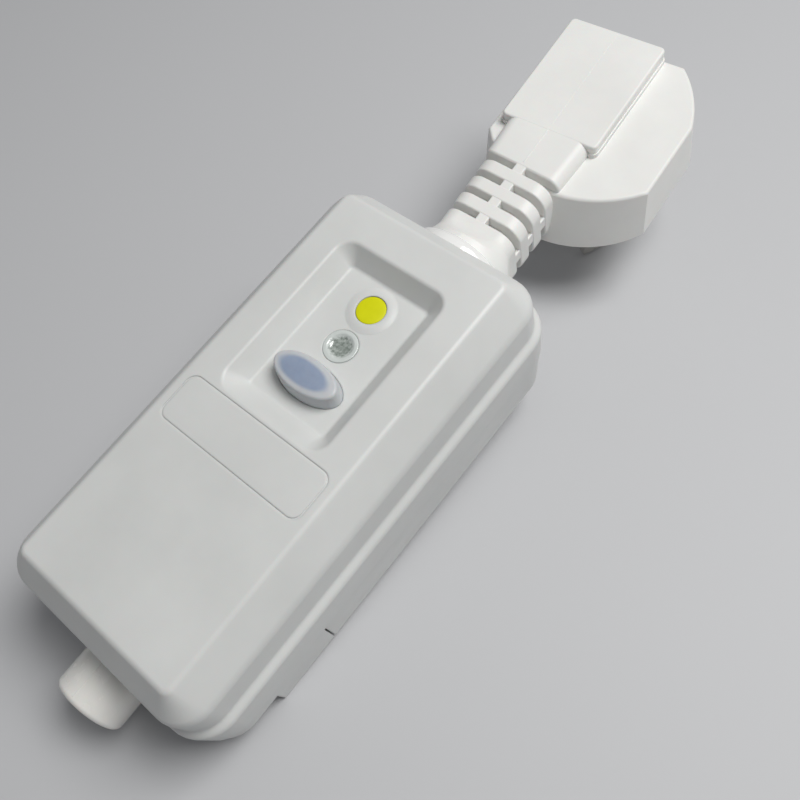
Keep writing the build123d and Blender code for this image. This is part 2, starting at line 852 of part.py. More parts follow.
earth_points = [
    (0, cord_case_end, core_high),
    (0, earth_lead_turn, core_high),
    (earth_lead_across, earth_lead_level, earth_lead_height),
    (earth_lead_across, earth_lead_leave, earth_lead_height),
    (0, block_far + earth_lead_bend_radius + 1, wire_hole_height),
    (0, terminal_far, wire_hole_height),
]
plug_leads = {
    "neutral_lead": plug_lead(-1, live_pin_places[0], plug_core_low),
    "live_lead": plug_lead(1, live_pin_places[1], plug_core_low),
    "earth_lead": plug_lead(0, earth_pin_place, plug_core_high),
}
case_leads = {
    "neutral_lead": line_lead(-1),
    "live_lead": line_lead(1),
    "earth_lead": lead(earth_points, core_radius, earth_lead_bend_radius),
}
for name, case_lead in case_leads.items():
    with BuildPart() as whole_lead:
        add(case_lead)
        add(plug_leads[name])
    whole_lead.part.label = name
    export_step(whole_lead.part, f"parts/{name}.step")


def plug_outline(plane, grow, near, near_corner):
    """The plug's outline: flats at the sides and the far end, a round near end."""
    half_width = disc_half_width + grow
    far = bar_end + grow
    far_half_width = disc_far_half_width + grow / 2
    run = hypot(half_width - far_half_width, far - disc_far_corner)
    out_x = (far - disc_far_corner) / run * disc_bulge
    out_y = (half_width - far_half_width) / run * disc_bulge
    middle_x = (half_width + far_half_width) / 2 + out_x
    middle_y = (far + disc_far_corner) / 2 + out_y
    with BuildSketch(plane) as outline:
        with BuildLine():
            right = disc_centre + half_width
            left = disc_centre - half_width
            ThreePointArc((left, near_corner), (disc_centre, near), (right, near_corner))
            Line((right, near_corner), (right, disc_far_corner))
            ThreePointArc(
                (right, disc_far_corner), (disc_centre + middle_x, middle_y), (disc_centre + far_half_width, far)
            )
            Line((disc_centre + far_half_width, far), (disc_centre - far_half_width, far))
            ThreePointArc(
                (disc_centre - far_half_width, far), (disc_centre - middle_x, middle_y), (left, disc_far_corner)
            )
            Line((left, disc_far_corner), (left, near_corner))
        make_face()
    return outline.sketch


# Plug and strain relief, one soft moulding: the disc, the raised bar, the slotted neck and its tail
disc_foot = plug_outline(plug_frame.offset(engaging_face), disc_flare, disc_foot_near, disc_foot_near_corner)
disc_brow = plug_outline(plug_frame.offset(disc_top - disc_edge), 0, disc_near, disc_near_corner)
disc_crown = plug_outline(plug_frame.offset(disc_top), -disc_edge, disc_near + disc_edge, disc_near_corner)
bar_plane = Plane(origin=plug_frame.origin, x_dir=plug_frame.y_dir, z_dir=plug_frame.x_dir)

with BuildPart() as neck:
    for along, half_width in ((neck_start, neck_start_half_width), (root_start, neck_half_width)):
        with BuildSketch(across_plug(along, neck_height)):
            RectangleRounded(2 * half_width, 2 * neck_half_thickness, neck_radius)
    loft(ruled=True)
    for slot in range(slot_count):
        with BuildSketch(across_plug(slot_first - slot * slot_pitch, neck_height)):
            Rectangle(4 * neck_half_width, 4 * neck_half_thickness)
            core_width = 2 * (neck_half_width - slot_depth)
            core_thickness = 2 * (neck_half_thickness - slot_depth)
            RectangleRounded(core_width, core_thickness, neck_radius - slot_depth / 2, mode=Mode.SUBTRACT)
            Rectangle(top_bridge, 4 * neck_half_thickness, mode=Mode.SUBTRACT)
            Rectangle(4 * neck_half_width, side_bridge, mode=Mode.SUBTRACT)
        extrude(amount=slot_width / 2, both=True, mode=Mode.SUBTRACT)

with BuildPart() as flare:
    with BuildSketch(Plane(origin=(0, collar_face + fit, axis_height), x_dir=(1, 0, 0), z_dir=(0, -1, 0))):
        RectangleRounded(2 * flare_radius, 2 * flare_radius, flare_radius - flare_flat)
    with BuildSketch(across_plug(flare_middle, (neck_height + axis_height) / 2)):
        flare_thickness = 2 * (flare_middle_half_width + neck_half_thickness - neck_start_half_width)
        RectangleRounded(2 * flare_middle_half_width, flare_thickness, flare_middle_radius)
    with BuildSketch(across_plug(neck_start, neck_height)):
        RectangleRounded(2 * neck_start_half_width, 2 * neck_half_thickness, neck_radius)
    loft()

with BuildPart() as bar:
    with BuildSketch(bar_plane):
        with BuildLine():
            Polyline(
                (root_end, disc_top - overshoot),
                (root_end, bar_near_height),
                (bar_end, bar_far_height),
                (bar_end, disc_top - overshoot),
                close=True,
            )
        make_face()
    extrude(amount=bar_half_width, both=True)
    fillet(bar.faces().sort_by(Axis.Z)[-1].edges(), radius=bar_edge)

with BuildPart() as plug_body:
    with BuildSketch(across_plug(root_start, neck_height)):
        RectangleRounded(2 * root_half_width, 2 * neck_half_thickness, neck_radius)
    extrude(amount=-(root_end - root_start) - overshoot)
    add(disc_foot)
    add(disc_brow)
    loft(ruled=True)
    add(disc_brow)
    add(disc_crown)
    loft(ruled=True)
    add(bar.part)
    add(neck.part)
    add(flare.part)
    add(rod(tail_radius, tail_flange_end, collar_face + fit, axis_height))
    add(rod(tail_flange_radius, tail_flange_end - tail_flange_thickness, tail_flange_end, axis_height))
    add(supply_cord, mode=Mode.SUBTRACT)
    add(carrier_blank, mode=Mode.SUBTRACT)
    for pin_solid in pins.values():
        add(pin_solid, mode=Mode.SUBTRACT)
    for plug_core in plug_leads.values():
        add(plug_core, mode=Mode.SUBTRACT)
plug_body.part.label = "plug_body"
export_step(plug_body.part, "parts/plug_body.step")


def shallow_dome(radius, crown, bottom, top, place):
    """A short round button whose top is slightly crowned."""
    ball_radius = (radius**2 + crown**2) / (2 * crown)
    profile_plane = Plane(origin=(*place, 0), x_dir=(1, 0, 0), z_dir=(0, -1, 0))
    with BuildPart() as dome:
        with BuildSketch(profile_plane):
            with BuildLine():
                Polyline((0, top), (0, bottom), (radius, bottom), (radius, top - crown))
                RadiusArc((radius, top - crown), (0, top), -ball_radius)
            make_face()
        revolve(axis=Axis((*place, 0), (0, 0, 1)))
    return dome.part


# Test button: crowned cap, stop flange under the panel and a stem
with BuildPart() as test_button:
    add(shallow_dome(test_button_radius, test_button_crown, stop_top, test_button_top, test_place))
    add(post(test_button_radius + stop_width, stop_bottom, stop_top, test_place))
    add(post(test_stem_radius, test_stem_end, stop_bottom, test_place))
test_button.part.label = "test_button"
export_step(test_button.part, "parts/test_button.step")

# Reset button: milky oval cap over a blue core, whose stem ends in a hook
with BuildPart() as reset_cap:
    add(oval(Plane.XY.offset(stop_top), reset_length, reset_breadth, reset_top - stop_top))
    fillet(reset_cap.faces().sort_by(Axis.Z)[-1].edges(), radius=reset_edge)
    stop_size = (reset_length + 2 * stop_width, reset_breadth + 2 * stop_width)
    add(oval(Plane.XY.offset(stop_bottom), *stop_size, stop_thickness))
    pocket_plane = Plane.XY.offset(stop_bottom)
    core_pocket = oval(pocket_plane, reset_core_length, reset_core_breadth, reset_core_top - stop_bottom)
    add(core_pocket, mode=Mode.SUBTRACT)
reset_cap.part.label = "reset_cap"
export_step(reset_cap.part, "parts/reset_cap.step")

with BuildPart() as reset_core:
    add(core_pocket)
    add(post(reset_seat_radius, reset_seat_bottom, stop_bottom, reset_middle))
    add(post(reset_stem_radius, hook_groove_top, reset_seat_bottom, reset_middle))
    add(post(hook_groove_radius, hook_groove_bottom, hook_groove_top, reset_middle))
    with BuildPart(mode=Mode.PRIVATE) as hook_head:
        add(post(hook_head_radius, hook_groove_bottom - hook_head_height, hook_groove_bottom, reset_middle))
        chamfer(hook_head.faces().sort_by(Axis.Z)[0].edges(), length=hook_head_edge)
    add(hook_head.part)
reset_core.part.label = "reset_core"
export_step(reset_core.part, "parts/reset_core.step")

# Window over the lamp
window_top = recess_floor_height + window_rise
with BuildPart() as indicator_lens:
    add(post(window_radius, stop_bottom, window_top, window_middle))
    add(post(window_radius + window_stop_width, stop_bottom, panel_under, window_middle))
    add(post(window_eye_radius, window_top - window_eye_depth, window_top, window_middle), mode=Mode.SUBTRACT)
    add(post(window_eye_radius, stop_bottom, window_pocket_top, window_middle), mode=Mode.SUBTRACT)
indicator_lens.part.label = "indicator_lens"
export_step(indicator_lens.part, "parts/indicator_lens.step")

with BuildPart() as indicator_led:
    add(post(led_base_radius, board_top, board_top + led_base_height, window_middle))
    add(shallow_dome(led_radius, led_radius * led_dome_share, board_top, led_top, window_middle))
indicator_led.part.label = "indicator_led"
export_step(indicator_led.part, "parts/indicator_led.step")

# Circuit board under the panel, with a hole for the spring tower
with BuildPart() as circuit_board:
    add(block((-board_width / 2, board_near, board_height), (board_width / 2, board_far, board_top)))
    add(post(tower_radius + tower_gap, board_height - 1, board_top + 1, reset_middle), mode=Mode.SUBTRACT)
circuit_board.part.label = "circuit_board"
export_step(circuit_board.part, "parts/circuit_board.step")

# Springy leaf on the board that the test button presses shut
leaf_top = test_stem_end - leaf_gap
with BuildPart() as test_contact:
    with BuildSketch(Plane(origin=(0, test_button_place, 0), x_dir=(1, 0, 0), z_dir=(0, -1, 0))):
        with BuildLine():
            half_span = leaf_span / 2
            ThreePointArc((-half_span, board_top), (0, leaf_top), (half_span, board_top))
            inner_span = half_span - leaf_foot
            Line((half_span, board_top), (inner_span, board_top))
            ThreePointArc((inner_span, board_top), (0, leaf_top - leaf_thickness), (-inner_span, board_top))
            Line((-inner_span, board_top), (-half_span, board_top))
        make_face()
    extrude(amount=leaf_width / 2, both=True)
test_contact.part.label = "test_contact"
export_step(test_contact.part, "parts/test_contact.step")

# Components on the board
chip_low = (chip_place[0] - chip_width / 2, chip_place[1] - chip_length / 2, board_top)
chip_high = (chip_place[0] + chip_width / 2, chip_place[1] + chip_length / 2, board_top + chip_thickness)
resistor_near = resistor_place[1] - resistor_length / 2
resistor_far = resistor_place[1] + resistor_length / 2
components = {
    "control_chip": block(chip_low, chip_high),
    "capacitor": post(capacitor_radius, board_top, board_top + capacitor_height, capacitor_place),
    "varistor": post(varistor_radius, board_top, board_top + varistor_thickness, varistor_place),
    "test_resistor": rod(
        resistor_radius, resistor_near, resistor_far, board_top + resistor_radius, resistor_place[0]
    ),
}
for name, component in components.items():
    component.label = name
    export_step(component, f"parts/{name}.step")

# Mechanism frame: floor, side walls, bridge over the contacts, spring tower, board posts and ring cradle
wall_inside = frame_half_width - frame_wall
post_near = board_near + board_post_inset
post_far = board_far - board_post_inset - board_post_length
ring_middle = axis_height
with BuildPart() as mechanism_frame:
    add(block((-frame_half_width, frame_near, wall), (frame_half_width, frame_far, frame_floor_top)))
    add(block((-frame_half_width, bridge_near, bridge_height), (frame_half_width, bridge_far, bridge_top)))
    for side in sides:
        outer = side * frame_half_width
        inner = side * wall_inside
        left, right = sorted((outer, inner))
        add(block((left, bridge_near, wall), (right, bridge_far, board_height)))
        for along in (post_near, post_far):
            add(block((left, along, wall), (right, along + board_post_length, board_height)))
        guide_face = side * (carriage_half_width + guide_gap)
        guide_left, guide_right = sorted((guide_face, inner + side * frame_wall / 2))
        guide_near = reset_place - guide_length / 2
        add(block((guide_left, guide_near, wall), (guide_right, guide_near + guide_length, bridge_height)))
    add(post(tower_radius, bridge_height, tower_top, reset_middle))
    add(post(tower_bore_radius, bridge_top, tower_top + 1, reset_middle), mode=Mode.SUBTRACT)
    add(post(reset_stem_radius + tower_gap, bridge_height - 1, bridge_top + 1, reset_middle), mode=Mode.SUBTRACT)
    cradle_near = ring_near + cradle_inset
    cradle_far = ring_near + ring_length - cradle_inset
    add(block((-cradle_half_width, cradle_near, wall), (cradle_half_width, cradle_far, cradle_top)))
    add(rod(ring_radius + fit / 4, cradle_near - 1, cradle_far + 1, ring_middle), mode=Mode.SUBTRACT)
mechanism_frame.part.label = "mechanism_frame"
export_step(mechanism_frame.part, "parts/mechanism_frame.step")

# Ring transformer round the two current cores
ring_far = ring_near + ring_length
with BuildPart() as transformer_bobbin:
    add(rod(ring_radius, ring_near, ring_far, ring_middle))
    add(rod(ring_radius - ring_wall, ring_near - 1, ring_far - ring_wall, ring_middle), mode=Mode.SUBTRACT)
    add(rod(ring_bore_radius + ring_wall, ring_near, ring_far, ring_middle))
    add(rod(ring_bore_radius, ring_near - 1, ring_far + 1, ring_middle), mode=Mode.SUBTRACT)
transformer_bobbin.part.label = "transformer_bobbin"
export_step(transformer_bobbin.part, "parts/transformer_bobbin.step")

with BuildPart() as transformer_core:
    core_near = ring_near + ring_gap
    core_far = ring_far - ring_wall - ring_gap
    core_bore_radius = ring_bore_radius + ring_wall + ring_gap
    add(rod(ring_radius - ring_wall - ring_gap, core_near, core_far, ring_middle))
    add(rod(core_bore_radius, core_near - 1, core_far + 1, ring_middle), mode=Mode.SUBTRACT)
transformer_core.part.label = "transformer_core"
export_step(transformer_core.part, "parts/transformer_core.step")

def contact_strip(side, near, far, bottom, thickness):
    """A flat copper strip beside the middle."""
    middle = side * strip_across
    return block((middle - strip_width / 2, near, bottom), (middle + strip_width / 2, far, bottom + thickness))


# Fixed contacts under the bridge: line contacts on the cord's side, load bars on the terminals' side
with BuildPart() as line_contacts:
    for side in sides:
        add(contact_strip(side, line_rivet_place - rivet_margin, line_strip_end, strip_bottom, strip_thickness))
        rivet_at = (side * strip_across, line_rivet_place)
        add(post(rivet_radius, strip_bottom - rivet_height, strip_bottom, rivet_at))
line_contacts.part.label = "line_contacts"
export_step(line_contacts.part, "parts/line_contacts.step")

with BuildPart() as load_bars:
    for side in sides:
        add(contact_strip(side, terminal_far, load_rivet_place + rivet_margin, strip_bottom, strip_thickness))
        rivet_at = (side * strip_across, load_rivet_place)
        add(post(rivet_radius, strip_bottom - rivet_height, strip_bottom, rivet_at))
load_bars.part.label = "load_bars"
export_step(load_bars.part, "parts/load_bars.step")

with BuildPart() as moving_contacts:
    for side in sides:
        near = load_rivet_place - rivet_margin
        far = line_rivet_place + rivet_margin
        add(contact_strip(side, near, far, carriage_top, moving_strip_thickness))
        for along in (load_rivet_place, line_rivet_place):
            rivet_at = (side * strip_across, along)
            add(post(rivet_radius, moving_strip_top, moving_strip_top + rivet_height, rivet_at))
moving_contacts.part.label = "moving_contacts"
export_step(moving_contacts.part, "parts/moving_contacts.step")

# Contact carriage: a cross arm on a middle block, bored for the stem and slotted for the latch plate
arm_bottom = carriage_top - carriage_arm_thickness
with BuildPart() as contact_carriage:
    arm_low = (-carriage_half_width, carriage_near, arm_bottom)
    add(block(arm_low, (carriage_half_width, carriage_far, carriage_top)))
    middle_low = (-carriage_middle_half_width, carriage_near, carriage_bottom)
    add(block(middle_low, (carriage_middle_half_width, carriage_far, arm_bottom)))
    add(post(reset_stem_radius + tower_gap, latch_height, carriage_top + 1, reset_middle), mode=Mode.SUBTRACT)
    add(post(hook_head_radius + tower_gap, carriage_bottom - 1, latch_height, reset_middle), mode=Mode.SUBTRACT)
    slot_low = (-latch_half_width - slot_clearance, carriage_near - 1, latch_height - slot_clearance)
    slot_top = latch_height + latch_thickness + slot_clearance
    add(block(slot_low, (latch_half_width + slot_clearance, carriage_far + 1, slot_top)), mode=Mode.SUBTRACT)
contact_carriage.part.label = "contact_carriage"
export_step(contact_carriage.part, "parts/contact_carriage.step")

# Latch plate: keyhole round the stem's groove, and a fork that sits in the plunger's groove
fork_near = fork_far - fork_thickness
latch_top = latch_height + latch_thickness
with BuildPart() as latch_plate:
    add(block((-latch_half_width, fork_near, latch_height), (latch_half_width, latch_far, latch_top)))
    add(block((-latch_half_width, fork_near, fork_bottom), (latch_half_width, fork_far, fork_top)))
    fork_slot_low = (-fork_slot_half_width, fork_near - 1, fork_bottom - 1)
    add(block(fork_slot_low, (fork_slot_half_width, fork_far, fork_slot_top)), mode=Mode.SUBTRACT)
    tip_room = plunger_radius + tower_gap
    tip_low = (-tip_room, fork_far, latch_height - 1)
    add(block(tip_low, (tip_room, plunger_far + tower_gap, latch_top + 1)), mode=Mode.SUBTRACT)
    hole_place = (0, reset_place + latch_travel)
    add(post(latch_hole_radius, latch_height - 1, latch_top + 1, hole_place), mode=Mode.SUBTRACT)
    add(post(latch_slot_half_width, latch_height - 1, latch_top + 1, reset_middle), mode=Mode.SUBTRACT)
    slot_corner = (-latch_slot_half_width, reset_place, latch_height - 1)
    add(block(slot_corner, (latch_slot_half_width, hole_place[1], latch_top + 1)), mode=Mode.SUBTRACT)
latch_plate.part.label = "latch_plate"
export_step(latch_plate.part, "parts/latch_plate.step")

# Solenoid: U-shaped iron frame, bobbin with its coil, and the plunger
bobbin_near = solenoid_near + solenoid_plate
bobbin_far = solenoid_far - solenoid_plate
bobbin_bore_radius = plunger_radius + plunger_clearance
with BuildPart() as solenoid_frame:
    frame_low = (-solenoid_half_width, solenoid_near, frame_floor_top)
    add(block(frame_low, (solenoid_half_width, solenoid_far, solenoid_top)))
    room_low = (-solenoid_half_width - 1, bobbin_near, frame_floor_top + solenoid_plate)
    add(block(room_low, (solenoid_half_width + 1, bobbin_far, solenoid_top + 1)), mode=Mode.SUBTRACT)
    add(rod(bobbin_bore_radius, bobbin_far - 1, solenoid_far + 1, solenoid_height), mode=Mode.SUBTRACT)
solenoid_frame.part.label = "solenoid_frame"
export_step(solenoid_frame.part, "parts/solenoid_frame.step")

bobbin_tube_radius = bobbin_bore_radius + bobbin_wall
with BuildPart() as solenoid_bobbin:
    add(rod(bobbin_tube_radius, bobbin_near, bobbin_far, solenoid_height))
    add(rod(bobbin_radius, bobbin_near, bobbin_near + bobbin_cheek, solenoid_height))
    add(rod(bobbin_radius, bobbin_far - bobbin_cheek, bobbin_far, solenoid_height))
    add(rod(bobbin_bore_radius, bobbin_near - 1, bobbin_far + 1, solenoid_height), mode=Mode.SUBTRACT)
solenoid_bobbin.part.label = "solenoid_bobbin"
export_step(solenoid_bobbin.part, "parts/solenoid_bobbin.step")

with BuildPart() as solenoid_coil:
    add(rod(coil_radius, bobbin_near + bobbin_cheek, bobbin_far - bobbin_cheek, solenoid_height))
    add(rod(bobbin_tube_radius, bobbin_near, bobbin_far, solenoid_height), mode=Mode.SUBTRACT)
solenoid_coil.part.label = "solenoid_coil"
export_step(solenoid_coil.part, "parts/solenoid_coil.step")

plunger_collar_far = plunger_groove_near
with BuildPart() as trip_plunger:
    add(rod(plunger_radius, plunger_near, plunger_groove_near, solenoid_height))
    add(rod(plunger_collar_radius, plunger_collar_near, plunger_collar_far, solenoid_height))
    add(rod(plunger_groove_radius, plunger_groove_near, plunger_groove_far, solenoid_height))
    add(rod(plunger_radius, plunger_groove_far, plunger_far, solenoid_height))
trip_plunger.part.label = "trip_plunger"
export_step(trip_plunger.part, "parts/trip_plunger.step")

# Springs of the reset button, the contact carriage and the plunger
reset_spring_plane = Plane(origin=(*reset_middle, bridge_top), x_dir=(1, 0, 0), z_dir=(0, 0, 1))
opening_spring_plane = Plane(origin=(*reset_middle, carriage_top), x_dir=(1, 0, 0), z_dir=(0, 0, 1))
plunger_spring_plane = Plane(origin=(0, solenoid_far, solenoid_height), x_dir=(1, 0, 0), z_dir=(0, 1, 0))
springs = {
    "reset_spring": coil_spring(
        reset_spring_plane, reset_spring_radius, reset_spring_turns, reset_seat_bottom - bridge_top
    ),
    "opening_spring": coil_spring(
        opening_spring_plane, opening_spring_radius, opening_spring_turns, bridge_height - carriage_top
    ),
    "plunger_spring": coil_spring(
        plunger_spring_plane, plunger_spring_radius, plunger_spring_turns, plunger_collar_near - solenoid_far
    ),
}
for name, spring_solid in springs.items():
    spring_solid.label = name
    export_step(spring_solid, f"parts/{name}.step")

# Output terminals in their block, with windows for the wires and the screws
terminal_top = terminal_bottom + terminal_height
pocket_width = terminal_width + 2 * pocket_gap
pocket_length = terminal_length + 2 * pocket_gap
with BuildPart() as terminal_block:
    add(block((-block_half_width, block_near, block_bottom), (block_half_width, block_far, block_top)))
    for side in sides:
        left, right = sorted((side * (block_half_width - 1), side * ear_end))
        add(block((left, block_near, block_bottom), (right, block_far, block_bottom + ear_thickness)))
    for place in terminal_places:
        across, along = place
        pocket_low = (across - pocket_width / 2, along - pocket_length / 2, terminal_bottom)
        pocket_high = (across + pocket_width / 2, along + pocket_length / 2, block_top + 1)
        add(block(pocket_low, pocket_high), mode=Mode.SUBTRACT)
        add(post(screw_window_radius, block_bottom - 1, terminal_bottom + 1, place), mode=Mode.SUBTRACT)
        add(rod(wire_window_radius, block_near - 1, block_far + 1, wire_hole_height, across), mode=Mode.SUBTRACT)
    ear_top = block_bottom + ear_thickness
    for place in block_screw_places:
        add(post(screw_hole_radius, block_bottom - 1, ear_top + 1, place), mode=Mode.SUBTRACT)
terminal_block.part.label = "terminal_block"
export_step(terminal_block.part, "parts/terminal_block.step")

with BuildPart() as output_terminals:
    for place in terminal_places:
        across, along = place
        low = (across - terminal_width / 2, along - terminal_length / 2, terminal_bottom)
        add(block(low, (across + terminal_width / 2, along + terminal_length / 2, terminal_top)))
        hole_near = along - terminal_length / 2
        hole_far = hole_near + wire_hole_depth
        add(rod(wire_hole_radius, hole_near - 1, hole_far, wire_hole_height, across), mode=Mode.SUBTRACT)
        add(post(terminal_thread_radius, terminal_bottom - 1, wire_hole_height, place), mode=Mode.SUBTRACT)
output_terminals.part.label = "output_terminals"
export_step(output_terminals.part, "parts/output_terminals.step")

# Cord clamp: a strap under the cable with two ears
clamp_outer_radius = clamp_inner_radius + clamp_thickness
clamp_near = clamp_place - clamp_length / 2
clamp_far = clamp_place + clamp_length / 2
clamp_ear_bottom = axis_height - clamp_ear_thickness
with BuildPart() as cord_clamp:
    upper_low = (-clamp_ear_end, clamp_near, axis_height)
    add(rod(clamp_outer_radius, clamp_near, clamp_far, axis_height))
    add(block(upper_low, (clamp_ear_end, clamp_far, face_height)), mode=Mode.SUBTRACT)
    add(block((-clamp_ear_end, clamp_near, clamp_ear_bottom), (clamp_ear_end, clamp_far, axis_height)))
    add(rod(clamp_inner_radius, clamp_near - 1, clamp_far + 1, axis_height), mode=Mode.SUBTRACT)
    for place in clamp_screw_places:
        add(post(screw_hole_radius, clamp_ear_bottom - 1, axis_height + 1, place), mode=Mode.SUBTRACT)
cord_clamp.part.label = "cord_clamp"
export_step(cord_clamp.part, "parts/cord_clamp.step")


def screw_set(places, seat, length, radius=screw_radius, head_radius=screw_head_radius, head=screw_head_height):
    """A group of like screws, all pointing up from one seat height."""
    with BuildPart() as screws:
        for place in places:
            add(pan_screw(radius, length, head_radius, head, seat, place))
    return screws.part


screw_sets = {
    "case_screws": screw_set(case_screw_places, case_screw_seat, case_screw_length),
    "wiring_cover_screws": screw_set(cover_screw_places, cover_screw_seat, cover_screw_length),
    "block_screws": screw_set(block_screw_places, block_bottom, block_screw_length),
    "clamp_screws": screw_set(clamp_screw_places, clamp_ear_bottom, clamp_screw_length),
    "terminal_screws": screw_set(
        terminal_places,
        terminal_bottom,
        terminal_screw_length,
        terminal_screw_radius,
        terminal_head_radius,
        terminal_head_height,
    ),
}
for name, screws in screw_sets.items():
    screws.label = name
    export_step(screws, f"parts/{name}.step")
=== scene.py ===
import json
import math
import bpy
import bmesh
from mathutils import Matrix, Quaternion, Vector


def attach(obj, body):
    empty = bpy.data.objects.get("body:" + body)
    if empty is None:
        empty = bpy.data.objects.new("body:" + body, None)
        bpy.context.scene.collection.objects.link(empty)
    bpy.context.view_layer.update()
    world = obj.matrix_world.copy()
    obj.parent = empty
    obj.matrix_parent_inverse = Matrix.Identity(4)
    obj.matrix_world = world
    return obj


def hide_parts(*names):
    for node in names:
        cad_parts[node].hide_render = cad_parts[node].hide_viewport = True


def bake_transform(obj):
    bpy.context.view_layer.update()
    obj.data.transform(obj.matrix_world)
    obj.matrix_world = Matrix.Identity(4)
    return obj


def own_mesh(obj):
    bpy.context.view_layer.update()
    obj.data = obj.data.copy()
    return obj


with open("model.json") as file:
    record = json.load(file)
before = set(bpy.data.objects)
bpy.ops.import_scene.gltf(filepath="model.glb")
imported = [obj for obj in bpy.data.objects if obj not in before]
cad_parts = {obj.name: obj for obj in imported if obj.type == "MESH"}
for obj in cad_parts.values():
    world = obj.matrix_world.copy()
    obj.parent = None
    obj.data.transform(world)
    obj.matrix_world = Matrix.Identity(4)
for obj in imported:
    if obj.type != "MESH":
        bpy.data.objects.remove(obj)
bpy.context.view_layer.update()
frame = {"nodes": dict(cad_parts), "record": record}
mm = 0.001
print("frame loaded")

# the plug leans a little to one side about a point just outside the case
plugLean = {"angle": 4.15, "pivot": 62.0}
leanRadians = math.radians(plugLean["angle"])
plugPlace = Matrix.Translation((
    plugLean["pivot"] * math.sin(leanRadians),
    plugLean["pivot"] * (1 - math.cos(leanRadians)),
    0,
)) @ Matrix.Rotation(leanRadians, 4, "Z")
axisHeight = 14.1  # gland and collar

# patterns that all the finishes share
pattern = {
    "cloudDetail": 4.0, "cloudRoughness": 0.6, "cloudBand": (0.32, 0.68),
    "smearScale": 2.3, "smearDetail": 3.0, "grainDetail": 2.0, "grainHeight": 0.00005,
    "edgeSamples": 6,
}


def nodeOf(material, kind, **sockets):
    node = material.node_tree.nodes.new(kind)
    for key, value in sockets.items():
        node.inputs[key.replace("_", " ")].default_value = value
    return node


def noiseOf(material, vector, **sockets):
    noise = nodeOf(material, "ShaderNodeTexNoise", **sockets)
    material.node_tree.links.new(vector, noise.inputs["Vector"])
    return noise.outputs["Fac"]


def patternVector(material, stretch=(1, 1, 1), centre=(0, 0, 0)):
    # object coordinates, moved and stretched
    links = material.node_tree.links
    place = material.node_tree.nodes.new("ShaderNodeTexCoord")
    shift = nodeOf(material, "ShaderNodeMapping", Scale=stretch)
    shift.inputs["Location"].default_value = [-c * s for c, s in zip(centre, stretch)]
    links.new(place.outputs["Object"], shift.inputs["Vector"])
    return shift.outputs["Vector"]


def startMaterial(name, look):
    material = bpy.data.materials.new(name)
    material.use_nodes = True
    shader = material.node_tree.nodes["Principled BSDF"]
    for socket, value in look.get("shader", {}).items():
        shader.inputs[socket].default_value = value
    return material, shader


def mottledColour(material, look, vector):
    links = material.node_tree.links
    clouds = noiseOf(
        material, vector, Scale=look["mottle"],
        Detail=pattern["cloudDetail"], Roughness=pattern["cloudRoughness"],
    )
    ramp = material.node_tree.nodes.new("ShaderNodeValToRGB")
    for stop, place, tone in zip(ramp.color_ramp.elements, pattern["cloudBand"], ("dark", "light")):
        stop.position = place
        stop.color = (*look[tone], 1)
    links.new(clouds, ramp.inputs["Fac"])
    return ramp.outputs["Color"]


def variedRoughness(material, shader, look, vector):
    links = material.node_tree.links
    scale = look["mottle"] * pattern["smearScale"]
    smears = noiseOf(material, vector, Scale=scale, Detail=pattern["smearDetail"])
    low, high = look["rough"]
    spread = nodeOf(material, "ShaderNodeMapRange", To_Min=low, To_Max=high)
    links.new(smears, spread.inputs["Value"])
    links.new(spread.outputs["Result"], shader.inputs["Roughness"])


def fineSurface(material, shader, look, vector):
    # grain of the mould's surface, over edges that it left slightly round
    links = material.node_tree.links
    grain = noiseOf(material, vector, Scale=look["grain"], Detail=pattern["grainDetail"])
    depth = pattern["grainHeight"]
    bump = nodeOf(material, "ShaderNodeBump", Strength=look["relief"], Distance=depth)
    links.new(grain, bump.inputs["Height"])
    if look.get("edge"):
        softEdge = nodeOf(material, "ShaderNodeBevel", Radius=look["edge"])
        softEdge.samples = pattern["edgeSamples"]
        links.new(softEdge.outputs["Normal"], bump.inputs["Normal"])
    links.new(bump.outputs["Normal"], shader.inputs["Normal"])


def moulded(name, look):
    material, shader = startMaterial(name, look)
    vector = patternVector(material, look.get("stretch", (1, 1, 1)))
    colour = mottledColour(material, look, vector)
    material.node_tree.links.new(colour, shader.inputs["Base Color"])
    variedRoughness(material, shader, look, vector)
    fineSurface(material, shader, look, vector)
    return material


def metal(name, look):
    return moulded(name, dict(look, shader={"Metallic": 1.0}))


casePlastic = moulded("casePlastic", {
    "dark": (0.63, 0.64, 0.63), "light": (0.70, 0.71, 0.70), "mottle": 28,
    "rough": (0.36, 0.46), "grain": 5200, "relief": 0.16, "edge": 0.0006,
    "shader": {"Specular IOR Level": 0.5, "Subsurface Weight": 0.05, "Subsurface Scale": 0.002},
})
plugVinyl = moulded("plugVinyl", {
    "dark": (0.79, 0.79, 0.77), "light": (0.85, 0.85, 0.83), "mottle": 36,
    "rough": (0.42, 0.52), "grain": 3600, "relief": 0.2,
    "shader": {"Subsurface Weight": 0.08, "Subsurface Scale": 0.002},
})
collarVinyl = moulded("collarVinyl", {
    "dark": (0.83, 0.83, 0.82), "light": (0.88, 0.88, 0.87), "mottle": 60,
    "rough": (0.08, 0.16), "grain": 900, "relief": 0.25,
    "shader": {"Coat Weight": 0.5, "Coat Roughness": 0.05},
})
glandRubber = moulded("glandRubber", {
    "dark": (0.81, 0.80, 0.765), "light": (0.87, 0.86, 0.825), "mottle": 90,
    "rough": (0.20, 0.32), "grain": 2400, "relief": 0.25,
    "shader": {
        "Subsurface Weight": 0.08, "Subsurface Scale": 0.002,
        "Coat Weight": 0.25, "Coat Roughness": 0.15,
    },
})
